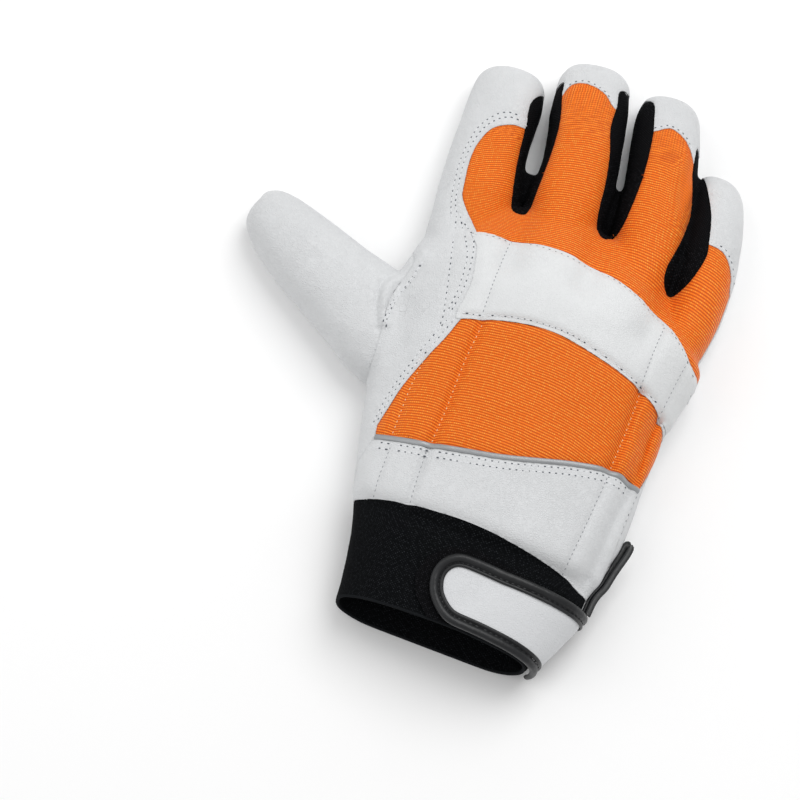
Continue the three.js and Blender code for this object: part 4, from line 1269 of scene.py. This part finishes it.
def new_material(name, roughness, **sockets):
    """A material with its own shader, whose even values sit on the shader's sockets."""
    material = bpy.data.materials.new(name)
    material.use_nodes = True
    tree = material.node_tree
    shader = tree.nodes["Principled BSDF"]
    shader.inputs["Roughness"].default_value = roughness
    for socket, value in sockets.items():
        shader.inputs[socket.replace("_", " ")].default_value = value
    return material, tree, shader


def use_group(tree, group, feed):
    made = tree.nodes.new("ShaderNodeGroup")
    made.node_tree = group
    tree.links.new(feed, made.inputs[0])
    return made.outputs


def attribute(tree, name, socket):
    return add_node(tree, "Attribute", attribute_name=name).outputs[socket]


def blend(tree, factor, first, second):
    """A colour between two others."""
    made = tree.nodes.new("ShaderNodeMix")
    made.data_type = "RGBA"
    for place, feed in ((0, factor), (6, first), (7, second)):
        if isinstance(feed, bpy.types.NodeSocket):
            tree.links.new(feed, made.inputs[place])
        else:
            made.inputs[place].default_value = (*feed, 1) if place else feed
    return made.outputs[2]


def relief(tree, shader, height, distance, strength=1.0):
    bump = add_node(tree, "Bump", {"Height": height, "Distance": distance, "Strength": strength})
    tree.links.new(bump.outputs[0], shader.inputs["Normal"])


def leather_material(name, colour, grain, roughness, depth):
    """Pale leather with painted shade: greyer in its creases and where its edge rolls into a seam.
    """
    material, tree, shader = new_material(name, roughness, Specular_IOR_Level=0.35,
                                          Sheen_Weight=0.08, Sheen_Roughness=0.5)
    place = add_node(tree, "TexCoord").outputs["Object"]
    height, crease = use_group(tree, grain, place)
    tone = add_node(tree, "TexNoise", {"Vector": place, "Scale": 24.0, "Detail": 3.0})
    worn = blend(tree, ease(tree, tone.outputs[0], 0.35, 0.65), colour,
                 tuple(0.955 * part for part in colour))
    # painted shade: the colour is greyed in the creases, where shade falls
    crease_shaded = blend(tree, work_out(tree, "MULTIPLY", crease, 0.1), worn,
                    tuple(0.72 * part for part in colour))
    # painted shade: darker where the edge rolls down into a seam
    edge = ease(tree, attribute(tree, "seam", "Fac"), 0.0, 0.22, 0.14, 0.0)
    final = blend(tree, edge, crease_shaded, tuple(0.5 * part for part in colour))
    tree.links.new(final, shader.inputs["Base Color"])
    relief(tree, shader, height, depth)
    return material


def orange_material(weave):
    """The ribbed fabric with painted light: lighter on the ribs, painted shade between them and at
    its seams.
    """
    material, tree, shader = new_material("orange_ribbed_fabric", 0.62, Specular_IOR_Level=0.25,
                                          Sheen_Weight=0.12, Sheen_Roughness=0.4)
    height, crown, gleam = use_group(tree, weave, attribute(tree, "cloth", "Vector"))
    # painted light and shade: the rib tops lighter, the grooves between them darker
    body = blend(tree, crown, (0.57, 0.08, 0.001), (1.0, 0.21, 0.008))
    # painted highlights: pale yellow glints on the rib and yarn crests
    lit = blend(tree, gleam, body, (1.0, 0.47, 0.07))
    # painted shade: darker where the fabric rolls down into its seams
    edge = ease(tree, attribute(tree, "seam", "Fac"), 0.0, 0.3, 0.3, 0.0)
    final = blend(tree, edge, lit, (0.33, 0.042, 0.001))
    tree.links.new(final, shader.inputs["Base Color"])
    relief(tree, shader, height, 0.0002)
    return material


def black_material(name, knit, colour, glint_colour, depth):
    """Black stretch fabric with painted glints of shine on its yarn."""
    material, tree, shader = new_material(name, 0.85, Specular_IOR_Level=0.05)
    height, speck = use_group(tree, knit, attribute(tree, "cloth", "Vector"))
    # painted highlights: light specks on the knit's loops, where the yarn shines
    tree.links.new(blend(tree, speck, colour, glint_colour), shader.inputs["Base Color"])
    relief(tree, shader, height, depth)
    return material


def thread_and_shade_material(name, colour, roughness):
    """Sewing thread, and the painted shade of the needle holes and sunken quilting thread: fine
    twist lines along it.
    """
    material, tree, shader = new_material(name, roughness, Specular_IOR_Level=0.3)
    place = add_node(tree, "TexCoord").outputs["Object"]
    twist = add_node(tree, "TexNoise", {"Vector": place, "Scale": 3200.0, "Detail": 1.0})
    tree.links.new(blend(tree, twist.outputs[0], tuple(0.8 * part for part in colour), colour),
                   shader.inputs["Base Color"])
    relief(tree, shader, twist.outputs[0], 0.0001)
    return material


def tape_material():
    """The reflective strip: satin grey with a fine bead texture."""
    material, tree, shader = new_material("reflective_tape", 0.36, Metallic=0.25,
                                          Specular_IOR_Level=0.6)
    place = add_node(tree, "TexCoord").outputs["Object"]
    beads = add_node(tree, "TexVoronoi", {"Vector": place, "Scale": 2600.0})
    soil = add_node(tree, "TexNoise", {"Vector": place, "Scale": 90.0, "Detail": 2.0})
    tree.links.new(blend(tree, soil.outputs[0], (0.27, 0.28, 0.29), (0.37, 0.38, 0.39)),
                   shader.inputs["Base Color"])
    relief(tree, shader, beads.outputs[0], 0.00005)
    return material


def binding_material():
    """The tab's edge binding: smooth dark leather cloth with fine cross lines."""
    material, tree, shader = new_material("dark_satin_binding", 0.38, Specular_IOR_Level=0.36)
    place = add_node(tree, "TexCoord").outputs["Object"]
    grain = add_node(tree, "TexNoise", {"Vector": place, "Scale": 900.0, "Detail": 2.0})
    soft = add_node(tree, "TexNoise", {"Vector": place, "Scale": 160.0, "Detail": 1.0})
    tree.links.new(blend(tree, soft.outputs[0], (0.007, 0.0075, 0.008), (0.018, 0.019, 0.021)),
                   shader.inputs["Base Color"])
    relief(tree, shader, work_out(tree, "ADD", grain.outputs[0],
                                  work_out(tree, "MULTIPLY", soft.outputs[0], 3.0)), 0.00012)
    return material


# Which finish name and which material each panel has
def dress(pieces):
    grain, weave, knit = leather_grain(), ribbed_weave(), knit_loops()
    white = leather_material("white_leather", (0.69, 0.7, 0.71), grain, 0.55, 0.00032)
    band = leather_material("white_band_leather", (0.73, 0.74, 0.745), grain, 0.5, 0.0002)
    pebbled = leather_material("white_tab_leather", (0.69, 0.7, 0.715), grain, 0.5, 0.0002)
    orange = orange_material(weave)
    strip = black_material("black_strip_knit", knit, (0.003, 0.003, 0.0035), (0.026, 0.026, 0.03),
                           0.00012)
    cuff = black_material("black_cuff_knit", knit, (0.003, 0.0034, 0.004), (0.032, 0.035, 0.039),
                          0.00018)
    finishes = {
        "white_leather": (white, ["palm_leather_sewn", "thumb_leather_sewn", "wrist_panel_sewn"]),
        "band": (band, ["knuckle_band_sewn"]),
        "tab": (pebbled, ["tab_leather"]),
        "orange_fabric": (orange, ["finger_back_panel_sewn", "hand_back_panel_sewn"]),
        "strips": (strip, [f"{name}_sewn" for name in FOURCHETTES] + ["loop_pad_pile"]),
        "black_fabric": (cuff, ["cuff_band_sewn", "cuff_rim_hem"]),
        "reflective_grey": (tape_material(), ["piping_tape"]),
        "dark_binding": (binding_material(), ["tab_edge_binding", "loop_strap"]),
        "white_thread": (thread_and_shade_material("white_thread", (0.82, 0.83, 0.85), 0.5),
                         ["topstitch_thread", "thumb_seam_thread"]),
        # painted shade: the quilting thread sinks into its groove, and its dark grey stands for the
        # shade there
        "quilt_thread_shade": (thread_and_shade_material("quilt_thread_shade", (0.3, 0.31, 0.33), 0.5),
                        ["leather_quilt_thread"]),
        "pale_thread": (thread_and_shade_material("pale_thread", (0.95, 0.72, 0.42), 0.5),
                        ["fabric_quilt_thread"]),
        "black_thread": (thread_and_shade_material("black_thread", (0.006, 0.006, 0.007), 0.6),
                         ["binding_thread"]),
        # painted shade in the needle holes
        "hole_shade": (thread_and_shade_material("hole_shade", (0.09, 0.1, 0.12), 0.8),
                       ["needle_hole_shade"]),
    }
    for finish, (material, names) in finishes.items():
        for name in names:
            piece = pieces[name]
            piece.data.materials.clear()
            piece.data.materials.append(material)
            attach(piece, "root")


def add_stage():
    """The floor, the lights and the camera."""
    bpy.ops.mesh.primitive_plane_add(size=6, location=(0, 0, -0.0001))
    floor = bpy.context.object
    floor.name = "studio_floor"
    material, tree, shader = new_material("pale_floor", 0.9, Specular_IOR_Level=0.1)
    shader.inputs["Base Color"].default_value = (0.98, 0.98, 0.98, 1)
    floor.data.materials.append(material)

    world = bpy.data.worlds.new("studio")
    world.use_nodes = True
    world.node_tree.nodes["Background"].inputs[0].default_value = (1, 1, 1, 1)
    world.node_tree.nodes["Background"].inputs[1].default_value = WORLD_LIGHT
    scene = bpy.context.scene
    scene.world = world
    scene.view_settings.view_transform = "Standard"
    for name, place, size, power in LIGHTS:
        bpy.ops.object.light_add(type="AREA", location=place)
        light = bpy.context.object
        light.name = name
        light.data.size = size
        light.data.energy = power
        light.rotation_euler = (-Vector(place)).to_track_quat("-Z", "Y").to_euler()

    lift, turn = math.radians(CAMERA_LIFT), math.radians(CAMERA_TURN)
    back = Vector((math.sin(turn) * math.cos(lift), -math.cos(turn) * math.cos(lift),
                   math.sin(lift)))
    bpy.ops.object.camera_add(location=Vector(CAMERA_TARGET) + back * CAMERA_AWAY)
    camera = bpy.context.object
    camera.name = "photo_camera"
    camera.rotation_euler = (-back).to_track_quat("-Z", "Y").to_euler()
    camera.data.lens = CAMERA_LENS
    camera.data.sensor_width = 36
    camera.data.clip_start = 0.01
    scene.camera = camera


def main():
    bpy.ops.object.select_all(action="DESELECT")
    points, triangles = build_skin()
    skin = Skin(sculpt(points, triangles), triangles)
    whole = BVHTree.FromPolygons(skin.points.tolist(), triangles.tolist())
    skin.triangles = skin.split(rim_field(skin.points))
    rim = skin.points[border_loop(skin.triangles)]
    body = (skin.points.copy(), skin.triangles.copy())
    cut_panels(skin)

    pieces = {}
    outer_points, outer_faces, count = [], [], 0
    for name in PANELS:
        piece, points, faces = finish_panel(skin, name)
        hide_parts(name)
        pieces[piece.name] = piece
        outer_points.append(points)
        outer_faces.append(faces + count)
        count += len(points)
    sewn = BVHTree.FromPolygons(np.vstack(outer_points).tolist(), np.vstack(outer_faces).tolist())

    tab_line = plan(TAB_OUTLINE)
    tab_points, tab_faces = wrist_patch(*body, tab_line, TAB_LOW_END)
    binding, path, ups = make_binding(whole, tab_points, tab_faces)
    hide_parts("tab_binding")
    leather = lifted_piece("tab_leather", *wrist_patch(*body, tab_line, TAB_LOW_END, TAB_INSET),
                           TAB_BASE + TAB_THICKNESS * 0.9, TAB_THICKNESS * 0.8)
    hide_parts("closure_tab")
    pad = lifted_piece("loop_pad_pile", *wrist_patch(*body, plan(PAD_OUTLINE), HAND_HEIGHT / 2),
                       PAD_BASE + PAD_THICKNESS, PAD_THICKNESS)
    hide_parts("loop_pad")
    piping = make_piping(whole)
    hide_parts("reflective_piping")
    strap = make_hang_loop()
    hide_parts("hang_loop")
    hem = make_rim_hem(whole, rim)
    for piece in (binding, leather, pad, piping, strap, hem, *sew_rows(sewn, (path, ups)).values()):
        pieces[piece.name] = piece
    dress(pieces)
    add_stage()
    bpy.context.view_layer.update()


main()
